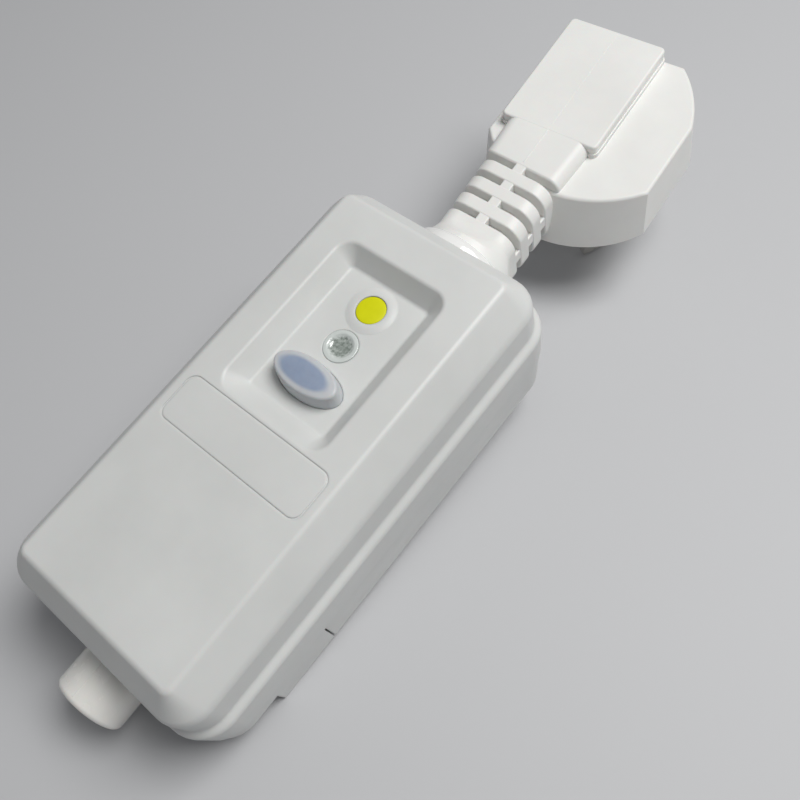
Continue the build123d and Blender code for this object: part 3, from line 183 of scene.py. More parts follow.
testYellow = moulded("testYellow", {
    "dark": (0.66, 0.67, 0.001), "light": (0.73, 0.74, 0.003), "mottle": 160,
    "rough": (0.42, 0.52), "grain": 5000, "relief": 0.25, "shader": {"Specular IOR Level": 0.3},
})
coreBlue = moulded("coreBlue", {
    "dark": (0.36, 0.45, 0.66), "light": (0.42, 0.52, 0.74), "mottle": 200,
    "rough": (0.45, 0.55), "grain": 4000, "relief": 0.2, "edge": 0.0004,
})
carrierPlastic = moulded("carrierPlastic", {
    "dark": (0.70, 0.70, 0.68), "light": (0.78, 0.78, 0.76), "mottle": 50,
    "rough": (0.35, 0.45), "grain": 4200, "relief": 0.2, "edge": 0.0003,
})
cordVinyl = moulded("cordVinyl", {
    "dark": (0.72, 0.72, 0.70), "light": (0.80, 0.80, 0.78), "mottle": 90,
    "rough": (0.35, 0.5), "grain": 3000, "relief": 0.3,
})
liveSheath = moulded("liveSheath", {
    "dark": (0.10, 0.035, 0.012), "light": (0.16, 0.06, 0.02), "mottle": 150,
    "rough": (0.32, 0.45), "grain": 3200, "relief": 0.25,
})
neutralSheath = moulded("neutralSheath", {
    "dark": (0.012, 0.07, 0.33), "light": (0.02, 0.11, 0.45), "mottle": 150,
    "rough": (0.32, 0.45), "grain": 3200, "relief": 0.25,
})
boardGreen = moulded("boardGreen", {
    "dark": (0.005, 0.10, 0.035), "light": (0.01, 0.15, 0.05), "mottle": 180,
    "rough": (0.28, 0.4), "grain": 2600, "relief": 0.3, "edge": 0.0002,
})
chipBlack = moulded("chipBlack", {
    "dark": (0.012, 0.012, 0.013), "light": (0.022, 0.022, 0.024), "mottle": 300,
    "rough": (0.5, 0.62), "grain": 6000, "relief": 0.4, "edge": 0.0002,
})
sleeveBlue = moulded("sleeveBlue", {
    "dark": (0.008, 0.018, 0.09), "light": (0.015, 0.03, 0.14), "mottle": 220,
    "rough": (0.2, 0.32), "grain": 2400, "relief": 0.2, "edge": 0.0003,
})
varistorBlue = moulded("varistorBlue", {
    "dark": (0.02, 0.08, 0.30), "light": (0.03, 0.12, 0.42), "mottle": 220,
    "rough": (0.3, 0.45), "grain": 1800, "relief": 0.4, "edge": 0.0004,
})
resistorTan = moulded("resistorTan", {
    "dark": (0.45, 0.30, 0.14), "light": (0.56, 0.40, 0.20), "mottle": 240,
    "rough": (0.35, 0.5), "grain": 2600, "relief": 0.3, "edge": 0.0003,
})
frameGrey = moulded("frameGrey", {
    "dark": (0.04, 0.04, 0.045), "light": (0.07, 0.07, 0.075), "mottle": 60,
    "rough": (0.42, 0.55), "grain": 3600, "relief": 0.3, "edge": 0.0003,
})
carriageCream = moulded("carriageCream", {
    "dark": (0.60, 0.56, 0.46), "light": (0.70, 0.66, 0.56), "mottle": 90,
    "rough": (0.42, 0.55), "grain": 3600, "relief": 0.3, "edge": 0.0003,
})
bobbinWhite = moulded("bobbinWhite", {
    "dark": (0.66, 0.66, 0.60), "light": (0.74, 0.74, 0.68), "mottle": 90,
    "rough": (0.4, 0.52), "grain": 3600, "relief": 0.3, "edge": 0.0002,
})
windingCopper = metal("windingCopper", {
    "dark": (0.42, 0.14, 0.05), "light": (0.60, 0.24, 0.10), "mottle": 300,
    "stretch": (1, 14, 1), "rough": (0.25, 0.4), "grain": 420, "relief": 0.8,
})
contactCopper = metal("contactCopper", {
    "dark": (0.72, 0.36, 0.20), "light": (0.85, 0.46, 0.28), "mottle": 160,
    "stretch": (1, 0.15, 1), "rough": (0.25, 0.38), "grain": 5200, "relief": 0.25, "edge": 0.0002,
})
springSteel = metal("springSteel", {
    "dark": (0.42, 0.42, 0.43), "light": (0.58, 0.58, 0.58), "mottle": 300,
    "rough": (0.2, 0.34), "grain": 5200, "relief": 0.25,
})
latchSteel = metal("latchSteel", {
    "dark": (0.46, 0.46, 0.45), "light": (0.60, 0.60, 0.58), "mottle": 160,
    "stretch": (0.2, 1, 1), "rough": (0.28, 0.42), "grain": 4600, "relief": 0.3, "edge": 0.0002,
})
coreAlloy = metal("coreAlloy", {
    "dark": (0.22, 0.22, 0.24), "light": (0.34, 0.34, 0.36), "mottle": 160,
    "stretch": (1, 12, 1), "rough": (0.35, 0.5), "grain": 2600, "relief": 0.4,
})
terminalBrass = metal("terminalBrass", {
    "dark": (0.62, 0.42, 0.14), "light": (0.76, 0.56, 0.22), "mottle": 160,
    "stretch": (1, 0.2, 1), "rough": (0.26, 0.38), "grain": 4600, "relief": 0.25, "edge": 0.0002,
})
screwSteel = metal("screwSteel", {
    "dark": (0.50, 0.50, 0.48), "light": (0.66, 0.66, 0.64), "mottle": 240,
    "rough": (0.22, 0.36), "grain": 4800, "relief": 0.25, "edge": 0.0003,
})
pinPlate = metal("pinPlate", {
    "dark": (0.60, 0.58, 0.54), "light": (0.74, 0.72, 0.68), "mottle": 120,
    "stretch": (1, 1, 0.12), "rough": (0.16, 0.28), "grain": 5200, "relief": 0.3, "edge": 0.0003,
})
lampResin = moulded("lampResin", {
    "dark": (0.10, 0.13, 0.12), "light": (0.46, 0.52, 0.48), "mottle": 900,
    "rough": (0.3, 0.5), "grain": 2600, "relief": 0.8,
})
print("plain materials made")


def centredMaterial(name, look):
    # an oval patch of another colour in the middle, with a soft and slightly ragged edge
    material, shader = startMaterial(name, look)
    links = material.node_tree.links
    vector = patternVector(material)
    rim = mottledColour(material, look, vector)
    core = mottledColour(material, look["core"], vector)
    reach = material.node_tree.nodes.new("ShaderNodeVectorMath")
    reach.operation = "LENGTH"
    links.new(patternVector(material, look["ovalScale"], look["ovalCentre"]), reach.inputs[0])
    clouds = noiseOf(material, vector, Scale=look["core"]["mottle"], Detail=pattern["grainDetail"])
    ragged = nodeOf(material, "ShaderNodeMapRange", To_Min=-look["ragged"], To_Max=look["ragged"])
    total = material.node_tree.nodes.new("ShaderNodeMath")
    links.new(clouds, ragged.inputs["Value"])
    links.new(reach.outputs["Value"], total.inputs[0])
    links.new(ragged.outputs["Result"], total.inputs[1])
    near, far = look["fade"]
    fade = nodeOf(material, "ShaderNodeMapRange", From_Min=near, From_Max=far)
    fade.interpolation_type = "SMOOTHSTEP"
    links.new(total.outputs["Value"], fade.inputs["Value"])
    mix = material.node_tree.nodes.new("ShaderNodeMix")
    mix.data_type = "RGBA"
    links.new(fade.outputs["Result"], mix.inputs["Factor"])
    first, second, mixed = mix.inputs[6], mix.inputs[7], mix.outputs[2]  # its colour sockets
    links.new(core, first)
    links.new(rim, second)
    links.new(mixed, shader.inputs["Base Color"])
    variedRoughness(material, shader, look, vector)
    fineSurface(material, shader, look, vector)
    return material


resetMilky = centredMaterial("resetMilky", {
    "dark": (0.52, 0.54, 0.57), "light": (0.58, 0.60, 0.62), "mottle": 160,
    "core": {"dark": (0.27, 0.33, 0.45), "light": (0.31, 0.37, 0.49), "mottle": 260},
    "ovalCentre": (-0.0003, 0.0113, 0), "ovalScale": (1 / 0.0064, 1 / 0.0027, 0),
    "fade": (0.84, 1.16), "ragged": 0.04, "rough": (0.36, 0.46), "grain": 3600, "relief": 0.2,
    "shader": {"Subsurface Weight": 0.15, "Subsurface Scale": 0.001},
})
lensClear = centredMaterial("lensClear", {
    "dark": (0.58, 0.62, 0.60), "light": (0.66, 0.70, 0.68), "mottle": 240,
    "core": {"dark": (0.15, 0.18, 0.16), "light": (0.42, 0.46, 0.43), "mottle": 1300},
    "ovalCentre": (0, 0.0214, 0), "ovalScale": (1 / 0.0025, 1 / 0.0025, 0),
    "fade": (0.78, 1.12), "ragged": 0.30, "rough": (0.14, 0.26), "grain": 1800, "relief": 0.3,
    "shader": {"Coat Weight": 0.6, "Coat Roughness": 0.05},
})
print("clear materials made")

slotFinish = {
    "cover_plastic": casePlastic, "plug_vinyl": plugVinyl, "collar_vinyl": collarVinyl,
    "gland_rubber": glandRubber, "cord_vinyl": cordVinyl, "pin_metal": pinPlate,
    "carrier_plastic": carrierPlastic, "live_insulation": liveSheath,
    "neutral_insulation": neutralSheath, "earth_insulation": boardGreen,
    "test_yellow": testYellow, "reset_milky": resetMilky, "reset_blue": coreBlue,
    "window_clear": lensClear, "lamp_resin": lampResin, "board_laminate": boardGreen,
    "chip_black": chipBlack, "capacitor_sleeve": sleeveBlue, "varistor_coating": varistorBlue,
    "resistor_coating": resistorTan, "frame_plastic": frameGrey,
    "carriage_plastic": carriageCream, "contact_copper": contactCopper,
    "spring_steel": springSteel, "latch_steel": latchSteel, "bobbin_plastic": bobbinWhite,
    "winding_copper": windingCopper, "core_alloy": coreAlloy, "terminal_brass": terminalBrass,
    "block_plastic": bobbinWhite, "clamp_plastic": bobbinWhite, "screw_steel": screwSteel,
}
for part in frame["record"]["subparts"]:
    node = frame["nodes"][part["node"]]
    node.data.materials.clear()
    node.data.materials.append(slotFinish[part["material_slot"]])
print("finishes on the solids")

# helpers for new pieces; all are modelled in millimetres
roundSteps = {"small": 72, "full": 96, "wide": 128}  # sides of a round form
creaseAngle = math.radians(32)  # shading breaks at steeper edges
mergeReach = 0.001  # closer vertices are made one


def meshFrom(bm, name):
    mesh = bpy.data.meshes.new(name)
    bm.to_mesh(mesh)
    bm.free()
    return mesh


def linkObject(name, data):
    thing = bpy.data.objects.new(name, data)
    bpy.context.scene.collection.objects.link(thing)
    return thing


def placePiece(name, mesh, body, slotName, replaced, weighted=True):
    for face in mesh.polygons:
        face.use_smooth = True
    mesh.set_sharp_from_angle(angle=creaseAngle)
    mesh.materials.clear()
    mesh.materials.append(slotFinish[slotName])
    piece = linkObject(name, mesh)
    if weighted:
        even = piece.modifiers.new("evenShading", "WEIGHTED_NORMAL")
        even.keep_sharp = True
    if body:
        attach(piece, body)
    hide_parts(*replaced)
    return piece


def finishPiece(name, bm, body, slotName, replaced):
    bmesh.ops.scale(bm, vec=(mm, mm, mm), verts=bm.verts)
    placePiece(name, meshFrom(bm, name), body, slotName, replaced)


def combine(bm, steps):
    # shapes are joined to bm or taken out of it, in turn; returns a new bmesh
    blank = linkObject("blank", meshFrom(bm, "blank"))
    tools = []
    for operation, form in steps:
        tools.append(linkObject("tool", meshFrom(form, "tool")))
        step = blank.modifiers.new("step", "BOOLEAN")
        step.operation = operation
        step.solver = "EXACT"
        step.object = tools[-1]
    shape = blank.evaluated_get(bpy.context.evaluated_depsgraph_get())
    result = bmesh.new()
    result.from_mesh(bpy.data.meshes.new_from_object(shape))
    bmesh.ops.remove_doubles(result, verts=result.verts, dist=mergeReach)
    bmesh.ops.dissolve_degenerate(result, dist=mergeReach, edges=result.edges)
    for thing in [blank, *tools]:
        bpy.data.objects.remove(thing)
    return result


def reportForm(label, bm):
    # a closed form has two faces at every edge
    odd = sum(len(edge.link_faces) != 2 for edge in bm.edges)
    volume = round(bm.calc_volume())
    print(label, "made:", len(bm.faces), "faces,", odd, "odd edges,", volume, "mm3")


def spunEnd(bm, start, centre, angle, steps):
    # spins one vertex about an upright axis; returns the last one
    spun = bmesh.ops.spin(bm, geom=[start], cent=centre, axis=(0, 0, 1), angle=angle, steps=steps)
    return [item for item in spun["geom_last"] if isinstance(item, bmesh.types.BMVert)][0]


def roundedLoop(bm, width, length, radius, middleY, height, steps=8):
    # four spun corners joined into one closed loop; returns its edges
    first = len(bm.edges)
    reachX, reachY = width / 2 - radius, length / 2 - radius
    ends = []
    for quarter, (sideX, sideY) in enumerate(((1, 1), (-1, 1), (-1, -1), (1, -1))):
        centre = Vector((sideX * reachX, middleY + sideY * reachY, height))
        arm = Matrix.Rotation(quarter * math.pi / 2, 3, "Z") @ Vector((radius, 0, 0))
        start = bm.verts.new(centre + arm)
        ends.append((start, spunEnd(bm, start, centre, math.pi / 2, steps)))
    for index in range(4):
        bm.edges.new((ends[index][1], ends[(index + 1) % 4][0]))
    bm.edges.ensure_lookup_table()
    return bm.edges[first:]


def ovalLoop(bm, length, breadth, middleY, height):
    made = bmesh.ops.create_circle(bm, segments=roundSteps["small"], radius=1.0)
    bmesh.ops.scale(bm, vec=(length / 2, breadth / 2, 1), verts=made["verts"])
    bmesh.ops.translate(bm, vec=(0, middleY, height), verts=made["verts"])
    return list({edge for vert in made["verts"] for edge in vert.link_edges})


def skinBetween(bm, loops):
    # each pair is pulled apart while it is bridged, so that rings at one height don't cross over
    apart = Vector((0, 0, 60))
    for lower, upper in zip(loops, loops[1:]):
        ring = list({vert for edge in upper for vert in edge.verts})
        bmesh.ops.translate(bm, vec=apart, verts=ring)
        bmesh.ops.bridge_loops(bm, edges=list(lower) + list(upper))
        bmesh.ops.translate(bm, vec=-apart, verts=ring)


def capLoop(bm, loop):
    bmesh.ops.contextual_create(bm, geom=list(loop))


def closedSkin(bm, loops):
    # a solid through the loops, shut at both ends
    skinBetween(bm, loops)
    capLoop(bm, loops[0])
    capLoop(bm, loops[-1])
    bmesh.ops.recalc_face_normals(bm, faces=bm.faces)


def softenEdges(bm, edges, width, segments):
    bmesh.ops.bevel(
        bm, geom=[edge for edge in edges if edge.is_valid], offset=width, offset_type="OFFSET",
        segments=segments, profile=0.5, affect="EDGES", material=-1, clamp_overlap=True,
    )


def sharpEdges(bm, limit=60):
    bmesh.ops.recalc_face_normals(bm, faces=bm.faces)
    folded = [edge for edge in bm.edges if len(edge.link_faces) == 2]
    return [edge for edge in folded if abs(edge.calc_face_angle_signed(0)) > math.radians(limit)]


def turned(profile, axis, centre, steps):
    # a closed profile of (radius, along) points, spun about an axis
    bm = bmesh.new()
    middle = Vector(centre)
    along = Vector((0, 1, 0)) if axis == "Y" else Vector((0, 0, 1))
    verts = [bm.verts.new(middle + Vector((radius, 0, 0)) + along * (run - middle.dot(along)))
             for radius, run in profile]
    edges = [bm.edges.new(pair) for pair in zip(verts, verts[1:])]
    if profile[0][0] > 0 or profile[-1][0] > 0:
        edges.append(bm.edges.new((verts[-1], verts[0])))
    bmesh.ops.spin(
        bm, geom=verts + edges, cent=centre, axis=along,
        angle=2 * math.pi, steps=steps, use_merge=True,
    )
    bmesh.ops.remove_doubles(bm, verts=bm.verts, dist=mergeReach)
    bmesh.ops.recalc_face_normals(bm, faces=bm.faces)
    return bm


def ringAt(bm, centre, axis, radius, run, slack=0.02):
    # the edges of one turned ring
    def onRing(vert):
        across, along = vert.co - Vector(centre), vert.co.y if axis == "Y" else vert.co.z
        reach = math.hypot(across.x, across.z if axis == "Y" else across.y)
        return abs(reach - radius) < slack and abs(along - run) < slack
    return [edge for edge in bm.edges if all(onRing(vert) for vert in edge.verts)]


def turnedForm(look):
    # "rounds" lists the rings to make round, as (radius, along) points, with width and segments
    axis, centre = look["axis"], look["centre"]
    bm = turned(look["profile"], axis, centre, look["steps"])
    for rings, width, segments in look["rounds"]:
        edges = [edge for ring in rings for edge in ringAt(bm, centre, axis, *ring)]
        softenEdges(bm, edges, width, segments)
    if "otherEdges" in look:
        softenEdges(bm, sharpEdges(bm), look["otherEdges"], segments=2)
    return bm


def plainPost(radius, low, high, centreY):
    bm = bmesh.new()
    bmesh.ops.create_cone(
        bm, cap_ends=True, segments=roundSteps["small"],
        radius1=radius, radius2=radius, depth=high - low,
    )
    bmesh.ops.translate(bm, vec=(0, centreY, (low + high) / 2), verts=bm.verts)
    return bm


def plainRod(radius, near, far):
    bm = bmesh.new()
    bmesh.ops.create_cone(
        bm, cap_ends=True, segments=roundSteps["full"],
        radius1=radius, radius2=radius, depth=far - near,
    )
    upright = Matrix.Rotation(math.pi / 2, 3, "X")
    bmesh.ops.rotate(bm, verts=bm.verts, cent=(0, 0, 0), matrix=upright)
    bmesh.ops.translate(bm, vec=(0, (near + far) / 2, axisHeight), verts=bm.verts)
    return bm


def ovalPlug(size, low, high, middleY):
    bm = bmesh.new()
    closedSkin(bm, [ovalLoop(bm, *size, middleY, height) for height in (low, high)])
    return bm


def plainStrip(width, length, height):
    bm = bmesh.new()
    bmesh.ops.create_cube(bm, size=1)
    bmesh.ops.scale(bm, vec=(width, length, height), verts=bm.verts)
    return bm


# top cover: rings are (width, length, corner radius, middle along Y, height)
cover = {
    "outer": {
        "lip": (58.4, 114.2, 8.8, 0, 12.0), "bead": (59.2, 115.0, 9.2, 0, 21.7),
        "root": (56.0, 112.4, 7.9, 0, 23.1), "shoulder": (55.6, 112.0, 7.5, 0, 31.0),
        "face": (44.0, 101.4, 1.6, 0, 38.0), "mouth": (29.2, 42.5, 4.0, 20.35, 38.0),
        "bed": (21.5, 34.3, 0.8, 20.85, 33.7),
    },
    "edges": {
        "lip": 0.35, "bead": 0.7, "root": 0.5, "shoulder": 1.3,
        "face": 0.8, "mouth": 0.5, "bed": 0.45,
    },
    "inner": [
        (54.4, 110.2, 6.8, 0, 12.0), (51.8, 108.2, 5.6, 0, 13.6), (51.6, 108.0, 5.5, 0, 30.1),
        (40.0, 97.4, 1.0, 0, 36.2), (33.4, 46.7, 6.1, 20.35, 36.2), (25.7, 38.5, 2.9, 20.85, 31.6),
    ],
    "glandSeat": (8.55, -60.0, -53.0), "collarSeat": (11.0, 53.0, 60.0),  # radius, near, far
    "labelLine": (39.8, 11.5, 2.5, -7.65), "lineWidth": 0.35, "lineRun": (37.85, 38.6),
}


def buildCover():
    bm = bmesh.new()
    outer = {name: roundedLoop(bm, *ring) for name, ring in cover["outer"].items()}
    skinBetween(bm, list(outer.values()))
    capLoop(bm, outer["bed"])
    inner = [roundedLoop(bm, *ring) for ring in cover["inner"]]
    skinBetween(bm, inner)
    capLoop(bm, inner[-1])
    skinBetween(bm, [outer["lip"], inner[0]])
    bmesh.ops.recalc_face_normals(bm, faces=bm.faces)
    for name, width in cover["edges"].items():
        softenEdges(bm, outer[name], width, segments=4)
    bmesh.ops.triangulate(bm, faces=[face for face in bm.faces if len(face.verts) > 4])
    return bm


def labelCutter():
    # a thin closed frame that sinks a little into the face
    bm = bmesh.new()
    width, length, radius, middleY = cover["labelLine"]
    line, (low, high) = cover["lineWidth"], cover["lineRun"]
    loops = []
    for inset, height in ((0, low), (0, high), (line, high), (line, low)):
        size = (width - 2 * inset, length - 2 * inset, radius - inset)
        loops.append(roundedLoop(bm, *size, middleY, height, steps=6))
    skinBetween(bm, loops + [loops[0]])
    bmesh.ops.recalc_face_normals(bm, faces=bm.faces)
    return bm


# what sits in the recess; round holes are (radius, low, high)
panel = {
    "bed": 33.7, "testY": 31.6, "windowY": 21.4, "resetY": 11.3,
    "testHole": (3.45, 30.0, 35.0), "windowHole": (3.95, 30.0, 34.5),
    "resetHole": (17.42, 8.82), "resetHoleRun": (30.0, 34.6),
}
# low soft ring that the test button sits in
mound = {
    "axis": "Z", "centre": (0, panel["testY"], 0), "steps": roundSteps["full"],
    "profile": [(0, 32.7), (5.7, 32.7), (5.7, 33.72), (4.3, 34.15), (0, 34.15)],
    "rounds": [([(4.3, 34.15)], 0.6, 5)],
}
coverForm = combine(buildCover(), [
    ("UNION", turnedForm(mound)),
    ("DIFFERENCE", plainPost(*panel["testHole"], panel["testY"])),
    ("DIFFERENCE", plainPost(*panel["windowHole"], panel["windowY"])),
    ("DIFFERENCE", ovalPlug(panel["resetHole"], *panel["resetHoleRun"], panel["resetY"])),
    ("DIFFERENCE", plainRod(*cover["glandSeat"])),
    ("DIFFERENCE", plainRod(*cover["collarSeat"])),
    ("DIFFERENCE", labelCutter()),
])
reportForm("top cover", coverForm)
finishPiece("coverShell", coverForm, "case", "cover_plastic", ["top_cover"])

# soft gland at the near end, with a ridge where the halves of its mould met
gland = {
    "axis": "Y", "centre": (0, 0, axisHeight), "steps": roundSteps["full"],
    "profile": [(4.2, -51.6), (4.2, -67.5), (8.15, -67.5),
                (8.15, -54.0), (9.7, -54.0), (9.7, -51.6)],
    "rounds": [([(8.15, -67.5)], 1.2, 6)], "otherEdges": 0.3,
    "ridge": (0.35, 11.0, 0.6), "ridgePlace": (0, -60.6, 22.07),
}
ridge = plainStrip(*gland["ridge"])
bmesh.ops.translate(ridge, vec=gland["ridgePlace"], verts=ridge.verts)
glandForm = combine(turnedForm(gland), [("UNION", ridge)])
finishPiece("glandSleeve", glandForm, "case", "gland_rubber", ["output_gland"])

# glossy ring between the case and the neck
collar = {
    "axis": "Y", "centre": (0, 0, axisHeight), "steps": roundSteps["wide"],
    "profile": [(8.2, 51.6), (11.6, 51.6), (11.6, 54.0), (10.8, 54.0),
                (10.8, 56.3), (13.8, 56.3), (13.8, 60.4), (8.2, 60.4)],
    "rounds": [([(13.8, 60.4)], 2.1, 10)], "otherEdges": 0.25,
}
finishPiece("collarRing", turnedForm(collar), "case", "collar_vinyl", ["cord_collar"])
print("gland and collar made")

# test button
testCap = {
    "axis": "Z", "centre": (0, panel["testY"], 0), "steps": roundSteps["small"],
    "profile": [(0, 28.6), (1.5, 28.6), (1.5, 30.15), (4.65, 30.15), (4.65, 31.35),
                (3.38, 31.35), (3.38, 34.1), (2.3, 34.2), (1.1, 34.24), (0, 34.25)],
    "rounds": [([(3.38, 34.1)], 0.25, 4)],
}
finishPiece("testCap", turnedForm(testCap), "test_button", "test_yellow", ["test_button"])

# reset oval: (length, breadth, height); crown rings are shares of the top and a drop
resetCap = {
    "pocket": (12.8, 5.5, 35.3), "pocketY": 11.1, "stop": (21.4, 11.2), "stopRun": (30.15, 31.35),
    "foot": (17.3, 8.7), "top": (16.5, 7.9, 37.9), "edge": 0.5,
    "crown": [(1, 1, 0.3), (0.72, 0.66, 0.08), (0.36, 0.33, 0)],
}


def buildResetCap():
    bm = bmesh.new()
    middleY, pocketY = panel["resetY"], resetCap["pocketY"]
    stopLow, stopHigh = resetCap["stopRun"]
    length, breadth, top = resetCap["top"]
    pocketLength, pocketBreadth, pocketTop = resetCap["pocket"]
    body = [
        ovalLoop(bm, pocketLength, pocketBreadth, pocketY, pocketTop),
        ovalLoop(bm, pocketLength, pocketBreadth, pocketY, stopLow),
        ovalLoop(bm, *resetCap["stop"], pocketY, stopLow),
        ovalLoop(bm, *resetCap["stop"], pocketY, stopHigh),
        ovalLoop(bm, *resetCap["foot"], middleY, stopHigh),
        ovalLoop(bm, *resetCap["foot"], middleY, panel["bed"]),
    ]
    crown = [ovalLoop(bm, length * along, breadth * across, middleY, top - drop)
             for along, across, drop in resetCap["crown"]]
    closedSkin(bm, body + crown)
    softenEdges(bm, crown[0], resetCap["edge"], segments=6)
    return bm


finishPiece("resetOval", buildResetCap(), "reset_button", "reset_milky", ["reset_cap"])

# window with a cupped rim
window = {
    "axis": "Z", "centre": (0, panel["windowY"], 0), "steps": roundSteps["small"],
    "profile": [(0, 32.3), (2.8, 32.3), (2.8, 30.15), (4.5, 30.15), (4.5, 31.6),
                (3.9, 31.6), (3.9, 33.9), (3.0, 33.9), (2.3, 33.25), (0, 33.1)],
    "rounds": [([(3.9, 33.9), (3.0, 33.9)], 0.2, 3), ([(2.3, 33.25)], 0.45, 4)],
}
finishPiece("windowRing", turnedForm(window), "case", "window_clear", ["indicator_lens"])
print("buttons and window made")


# springs and the test contact are copies of the solids' own shapes
def sprungCopy(nodeName, pieceName, body=None):
    bm = bmesh.new()
    bm.from_mesh(frame["nodes"][nodeName].data)
    bmesh.ops.remove_doubles(bm, verts=bm.verts, dist=mergeReach * mm)
    bmesh.ops.recalc_face_normals(bm, faces=bm.faces)
    slots = {part["node"]: part["material_slot"] for part in frame["record"]["subparts"]}
    mesh = meshFrom(bm, pieceName)
    return placePiece(pieceName, mesh, body, slots[nodeName], [nodeName], weighted=False)


# foot and head are in metres
sprung = {
    "resetCoil": {
        "node": "reset_spring", "mover": "reset_button",
        "foot": (0, 0.0111, 0.0200), "head": (0, 0.0111, 0.02895),
    },
    "openingCoil": {
        "node": "opening_spring", "mover": "carriage",
        "foot": (0, 0.0111, 0.0180), "head": (0, 0.0111, 0.01495),
    },
    "plungerCoil": {
        "node": "plunger_spring", "mover": "plunger",
        "foot": (0, -0.0085, 0.0101), "head": (0, -0.0035, 0.0101),
    },
}
for name, look in sprung.items():
    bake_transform(sprungCopy(look["node"], name))
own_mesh(sprungCopy("test_contact", "contactLeaf", "case"))
print("springs made")

# plug: bar, disc and the pocket for the pin carrier, straight until plugPlace leans them
plug = {
    "barHalfWidth": 13.2, "barNear": 99.0, "barFar": 133.8, "barCorner": 1.3,
    "barFoot": 17.7, "barTops": (22.1, 22.8), "barEdge": 0.6,
    "ledgeReach": 0.3, "ledgeTops": (19.9, 19.9), "ledgeEdge": 0.2,
    "discX": 6.9, "discFoot": 5.1, "discTop": 18.7, "discHalfWidth": 22.1, "discFar": 133.8,
    "discFarCorner": 117.4, "discFarHalfWidth": 11.6, "discBulge": 1.4, "discFlare": 1.1,
    "topEdge": 0.7, "footEdge": 0.35, "nearSteps": 32, "farSteps": 12,
    "footNear": (80.7, 94.0), "topNear": (85.5, 96.0),
    "carrier": (30.1, 30.1, 8.05, 106.5), "carrierRun": (4.1, 8.1),
    "mouldLine": {"width": 0.3, "rise": 0.05, "height": 0.5},
    "mouldRuns": [(88.2, 101.0, 22.1, 22.1), (101.2, 133.0, 22.14, 22.78)],  # near, far, tops
}
# strain relief: rings are (half width, half thickness, corner, along, drop)
neck = {
    "height": 13.6, "start": 65.8, "startHalfWidth": 10.0, "end": 86.9, "halfWidth": 10.5,
    "halfThickness": 8.5, "corner": 4.6, "shear": -0.07, "ribEdge": 0.45,
    "firstSlot": 69.8, "pitch": 5.4, "slots": 4, "slotWidth": 1.8, "depth": 3.0,
    "coreSpan": (66.8, 88.4), "coreCorner": 3.6,
    "topBridge": 2.9, "sideBridge": 3.4, "bridgeSink": 0.15, "bridgeCorner": 0.35,
    "root": (10.8, 8.45, 3.1), "rootFar": (11.6, 8.45, 3.1), "rootEnd": 103.0, "rootEdge": 0.7,
    "flare": [
        (11.9, 11.9, 11.85, 60.35, 0.5), (11.9, 11.8, 11.5, 61.9, 0.5),
        (11.0, 10.2, 8.4, 63.4, 0.3), (10.1, 8.8, 5.4, 65.1, 0.1), (10.0, 8.5, 4.6, 66.6, 0),
    ],
    "squareBefore": 61.0,
}
# lead inside the collar, with the flange that holds it in the case
tail = {
    "axis": "Y", "centre": (0, 0, axisHeight), "steps": roundSteps["full"], "rounds": [],
    "profile": [(0, 57.0), (4.1, 57.0), (4.1, 49.4), (10.0, 49.4),
                (10.0, 51.4), (8.1, 51.4), (8.1, 61.2), (0, 61.2)],
}


def endToEnd(rings, nearEdge, farEdge):
    # a bar along Y through the rings
    bm = bmesh.new()
    loops = []
    for halfWidth, halfThickness, corner, along, drop in rings:
        loops.append(roundedLoop(bm, 2 * halfWidth, 2 * halfThickness, corner, -drop, along))
    skinBetween(bm, loops)
    for loop, edge in ((loops[0], nearEdge), (loops[-1], farEdge)):
        capLoop(bm, loop)
        bmesh.ops.recalc_face_normals(bm, faces=bm.faces)
        if edge:
            softenEdges(bm, loop, edge, segments=3)
    lying = Matrix.Rotation(-math.pi / 2, 3, "X")
    bmesh.ops.rotate(bm, verts=bm.verts, cent=(0, 0, 0), matrix=lying)
    bmesh.ops.translate(bm, vec=(0, 0, neck["height"]), verts=bm.verts)
    return bm


def neckHalfWidth(along):
    share = (along - neck["start"]) / (neck["end"] - neck["start"])
    return neck["startHalfWidth"] + share * (neck["halfWidth"] - neck["startHalfWidth"])


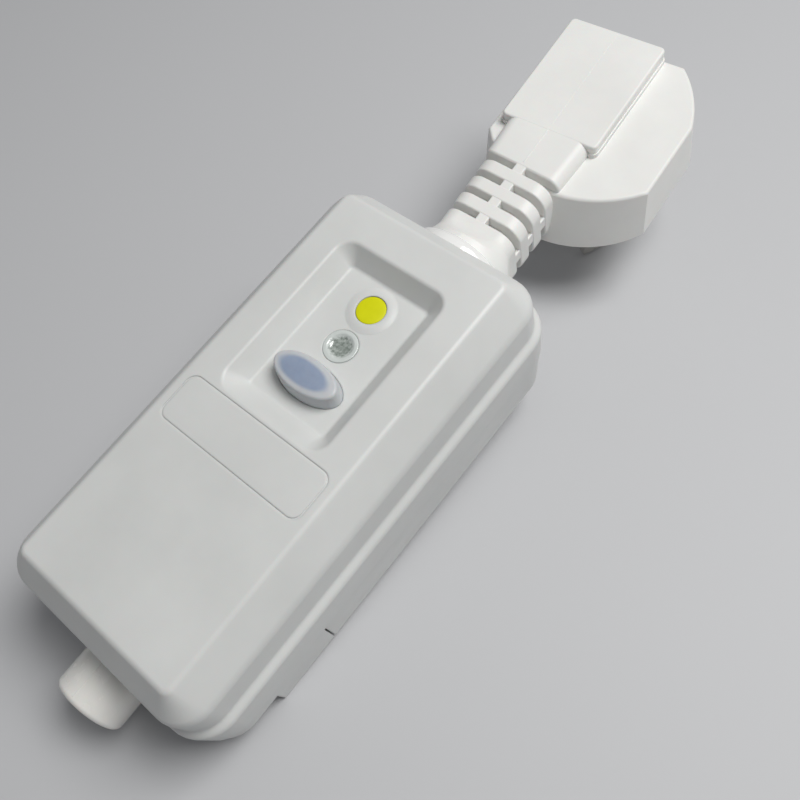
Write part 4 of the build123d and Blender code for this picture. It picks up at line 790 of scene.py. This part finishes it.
def neckParts():
    # ribs with slots between them, round a thinner core that bridges tie together
    thick, corner, depth = neck["halfThickness"], neck["corner"], neck["depth"]
    near, parts = neck["start"], []
    for slot in range(neck["slots"]):
        far = neck["firstSlot"] + slot * neck["pitch"] - neck["slotWidth"] / 2
        rings = [(neckHalfWidth(along), thick, corner, along, 0) for along in (near, far)]
        nearEdge = neck["ribEdge"] if slot else 0
        parts.append(endToEnd(rings, nearEdge, farEdge=neck["ribEdge"]))
        near = far + neck["slotWidth"]
    root = [(*neck["root"], near, 0), (*neck["rootFar"], neck["rootEnd"], 0)]
    parts.append(endToEnd(root, nearEdge=neck["rootEdge"], farEdge=0))
    sink, bridge = neck["bridgeSink"], neck["bridgeCorner"]
    # core, bridges above and below, bridges at the sides, each from the neck's half width
    sections = [
        lambda wide: (wide - depth, thick - depth, neck["coreCorner"]),
        lambda wide: (neck["topBridge"] / 2, thick - sink, bridge),
        lambda wide: (wide - sink, neck["sideBridge"] / 2, bridge),
    ]
    for section in sections:
        rings = [(*section(neckHalfWidth(along)), along, 0) for along in neck["coreSpan"]]
        parts.append(endToEnd(rings, nearEdge=0, farEdge=0))
    # the soft neck leans, but its slots stay almost square to the case
    skew = Matrix(((1, 0, 0, 0), (neck["shear"], 1, 0, 0), (0, 0, 1, 0), (0, 0, 0, 1)))
    for part in parts:
        bmesh.ops.transform(part, matrix=skew, verts=part.verts)
    # the foot of the flare stays square to the collar
    flare = endToEnd(neck["flare"], nearEdge=0, farEdge=0)
    foot = [vert for vert in flare.verts if vert.co.y < neck["squareBefore"]]
    bmesh.ops.transform(flare, matrix=plugPlace.inverted(), verts=foot)
    return parts + [flare]


def barBlock(grow, tops, edge):
    # rounded block whose top climbs towards its far end
    near, far = plug["barNear"], plug["barFar"]
    size = (2 * (plug["barHalfWidth"] + grow), far - near + 2 * grow, plug["barCorner"] + grow)
    bm = bmesh.new()
    low, high = [roundedLoop(bm, *size, (far + near) / 2, height)
                 for height in (plug["barFoot"], tops[0])]
    closedSkin(bm, [low, high])
    slope = (tops[1] - tops[0]) / (far - near)
    climb = Matrix(((1, 0, 0, 0), (0, 1, 0, 0), (0, slope, 1, -slope * near), (0, 0, 0, 1)))
    bmesh.ops.transform(bm, matrix=climb, verts=list({v for e in high for v in e.verts}))
    softenEdges(bm, high, edge, segments=4)
    return bm


def arcThrough(bm, start, middle, end, height, steps):
    # one vertex spun round the circle through three points; returns its two ends
    (ax, ay), (bx, by), (cx, cy) = start, middle, end
    scale = 2 * (ax * (by - cy) + bx * (cy - ay) + cx * (ay - by))
    a, b, c = ax * ax + ay * ay, bx * bx + by * by, cx * cx + cy * cy
    centre = Vector(((a * (by - cy) + b * (cy - ay) + c * (ay - by)) / scale,
                     (a * (cx - bx) + b * (ax - cx) + c * (bx - ax)) / scale, height))
    turn = math.atan2(cy - centre.y, cx - centre.x) - math.atan2(ay - centre.y, ax - centre.x)
    first = bm.verts.new((ax, ay, height))
    return first, spunEnd(bm, first, centre, turn % (2 * math.pi), steps)


def discLoop(bm, grow, near, nearCorner, height):
    # round near end, straight sides, bulged shoulders and a flat far end
    firstEdge = len(bm.edges)
    middle, half, far = plug["discX"], plug["discHalfWidth"] + grow, plug["discFar"] + grow
    farHalf, corner = plug["discFarHalfWidth"] + grow / 2, plug["discFarCorner"]
    run = math.hypot(half - farHalf, far - corner)
    outX = (half + farHalf) / 2 + (far - corner) / run * plug["discBulge"]
    outY = (far + corner) / 2 + (half - farHalf) / run * plug["discBulge"]
    left, right = middle - half, middle + half
    nearArc = ((left, nearCorner), (middle, near), (right, nearCorner))
    rightArc = ((right, corner), (middle + outX, outY), (middle + farHalf, far))
    leftArc = ((middle - farHalf, far), (middle - outX, outY), (left, corner))
    arcs = [
        arcThrough(bm, *nearArc, height, plug["nearSteps"]),
        arcThrough(bm, *rightArc, height, plug["farSteps"]),
        arcThrough(bm, *leftArc, height, plug["farSteps"]),
    ]
    for index, arc in enumerate(arcs):
        bm.edges.new((arc[1], arcs[(index + 1) % 3][0]))
    bm.edges.ensure_lookup_table()
    return bm.edges[firstEdge:]


def discBlock():
    bm = bmesh.new()
    foot = discLoop(bm, plug["discFlare"], *plug["footNear"], plug["discFoot"])
    top = discLoop(bm, 0, *plug["topNear"], plug["discTop"])
    closedSkin(bm, [foot, top])
    softenEdges(bm, top, plug["topEdge"], segments=4)
    softenEdges(bm, foot, plug["footEdge"], segments=3)
    return bm


def carrierPocket():
    bm = bmesh.new()
    closedSkin(bm, [roundedLoop(bm, *plug["carrier"], height) for height in plug["carrierRun"]])
    bmesh.ops.translate(bm, vec=(plug["discX"], 0, 0), verts=bm.verts)
    return bm


def mouldLine(near, far, nearTop, farTop):
    # fine raised line where the halves of the mould met
    line = plug["mouldLine"]
    bm = plainStrip(line["width"], far - near, line["height"])
    slope = (farTop - nearTop) / (far - near)
    middle = (nearTop + farTop) / 2 + line["rise"] - line["height"] / 2
    shear = Matrix(((1, 0, 0, 0), (0, 1, 0, (near + far) / 2), (0, slope, 1, middle), (0, 0, 0, 1)))
    bmesh.ops.transform(bm, matrix=shear, verts=bm.verts)
    return bm


def buildPlug():
    joined = [
        barBlock(plug["ledgeReach"], plug["ledgeTops"], plug["ledgeEdge"]),
        barBlock(0, plug["barTops"], plug["barEdge"]),
        *neckParts(),
        *[mouldLine(*run) for run in plug["mouldRuns"]],
    ]
    steps = [("UNION", form) for form in joined] + [("DIFFERENCE", carrierPocket())]
    bm = combine(discBlock(), steps)
    bmesh.ops.transform(bm, matrix=plugPlace, verts=bm.verts)
    return combine(bm, [("UNION", turnedForm(tail))])


plugForm = buildPlug()
reportForm("plug", plugForm)
finishPiece("plugMoulding", plugForm, "case", "plug_vinyl", ["plug_body"])

# the case lies on the step under its near end and on the tip of the long pin
table = {
    "slope": -0.1215, "touchY": -0.0416, "gap": 0.00005, "size": 3.0,
    "colour": (0.55, 0.555, 0.57), "roughness": 0.6,
}


def buildTable():
    bm = bmesh.new()
    bmesh.ops.create_grid(bm, x_segments=1, y_segments=1, size=table["size"] / 2)
    tilt = Matrix.Rotation(math.atan(table["slope"]), 3, "X")
    bmesh.ops.rotate(bm, verts=bm.verts, cent=(0, 0, 0), matrix=tilt)
    bmesh.ops.translate(bm, vec=(0, table["touchY"], -table["gap"]), verts=bm.verts)
    floor = linkObject("table", meshFrom(bm, "table"))
    look = {"Roughness": table["roughness"], "Base Color": (*table["colour"], 1)}
    floor.data.materials.append(startMaterial("tableTop", {"shader": look})[0])


buildTable()

lamps = {
    "key": {"place": (0.24, 0.34, 0.66), "size": 0.40, "power": 5.0, "colour": (1.0, 0.995, 0.98)},
    "fill": {"place": (-0.55, -0.15, 0.55), "size": 0.6, "power": 0.2, "colour": (0.98, 0.99, 1.0)},
}
lampTarget = Vector((0, 0.03, 0.015))
for name, look in lamps.items():
    light = bpy.data.lights.new(name, "AREA")
    light.shape = "SQUARE"
    light.size = look["size"]
    light.energy = look["power"]
    light.color = look["colour"]
    lamp = linkObject(name, light)
    lamp.location = look["place"]
    lamp.rotation_mode = "QUATERNION"
    lamp.rotation_quaternion = (Vector(look["place"]) - lampTarget).to_track_quat("Z", "Y")

studio = {"colour": (0.97, 0.98, 1.0), "strength": 0.17}
world = bpy.data.worlds.new("studio")
bpy.context.scene.world = world
world.use_nodes = True
surround = world.node_tree.nodes["Background"]
surround.inputs["Color"].default_value = (*studio["colour"], 1)
surround.inputs["Strength"].default_value = studio["strength"]

# camera on a line from the target, given in degrees and metres
view = {
    "azimuth": 59.751, "elevation": 63.514, "roll": -22.57, "distance": 0.184883,
    "target": (0.012375, 0.022503, 0.020), "lens": 37.963, "sensor": 36.0, "nearest": 0.01,
}
azimuth, elevation = math.radians(view["azimuth"]), math.radians(view["elevation"])
flat = math.cos(elevation)
back = Vector((math.sin(azimuth) * flat, -math.cos(azimuth) * flat, math.sin(elevation)))
roll = Quaternion((0, 0, 1), math.radians(view["roll"]))
camera = linkObject("camera", bpy.data.cameras.new("camera"))
camera.data.lens = view["lens"]
camera.data.sensor_width = view["sensor"]
camera.data.clip_start = view["nearest"]
camera.location = Vector(view["target"]) + back * view["distance"]
camera.rotation_mode = "QUATERNION"
camera.rotation_quaternion = back.to_track_quat("Z", "Y") @ roll
bpy.context.scene.camera = camera
bpy.context.scene.view_settings.view_transform = "Standard"
print("table, light and camera set")
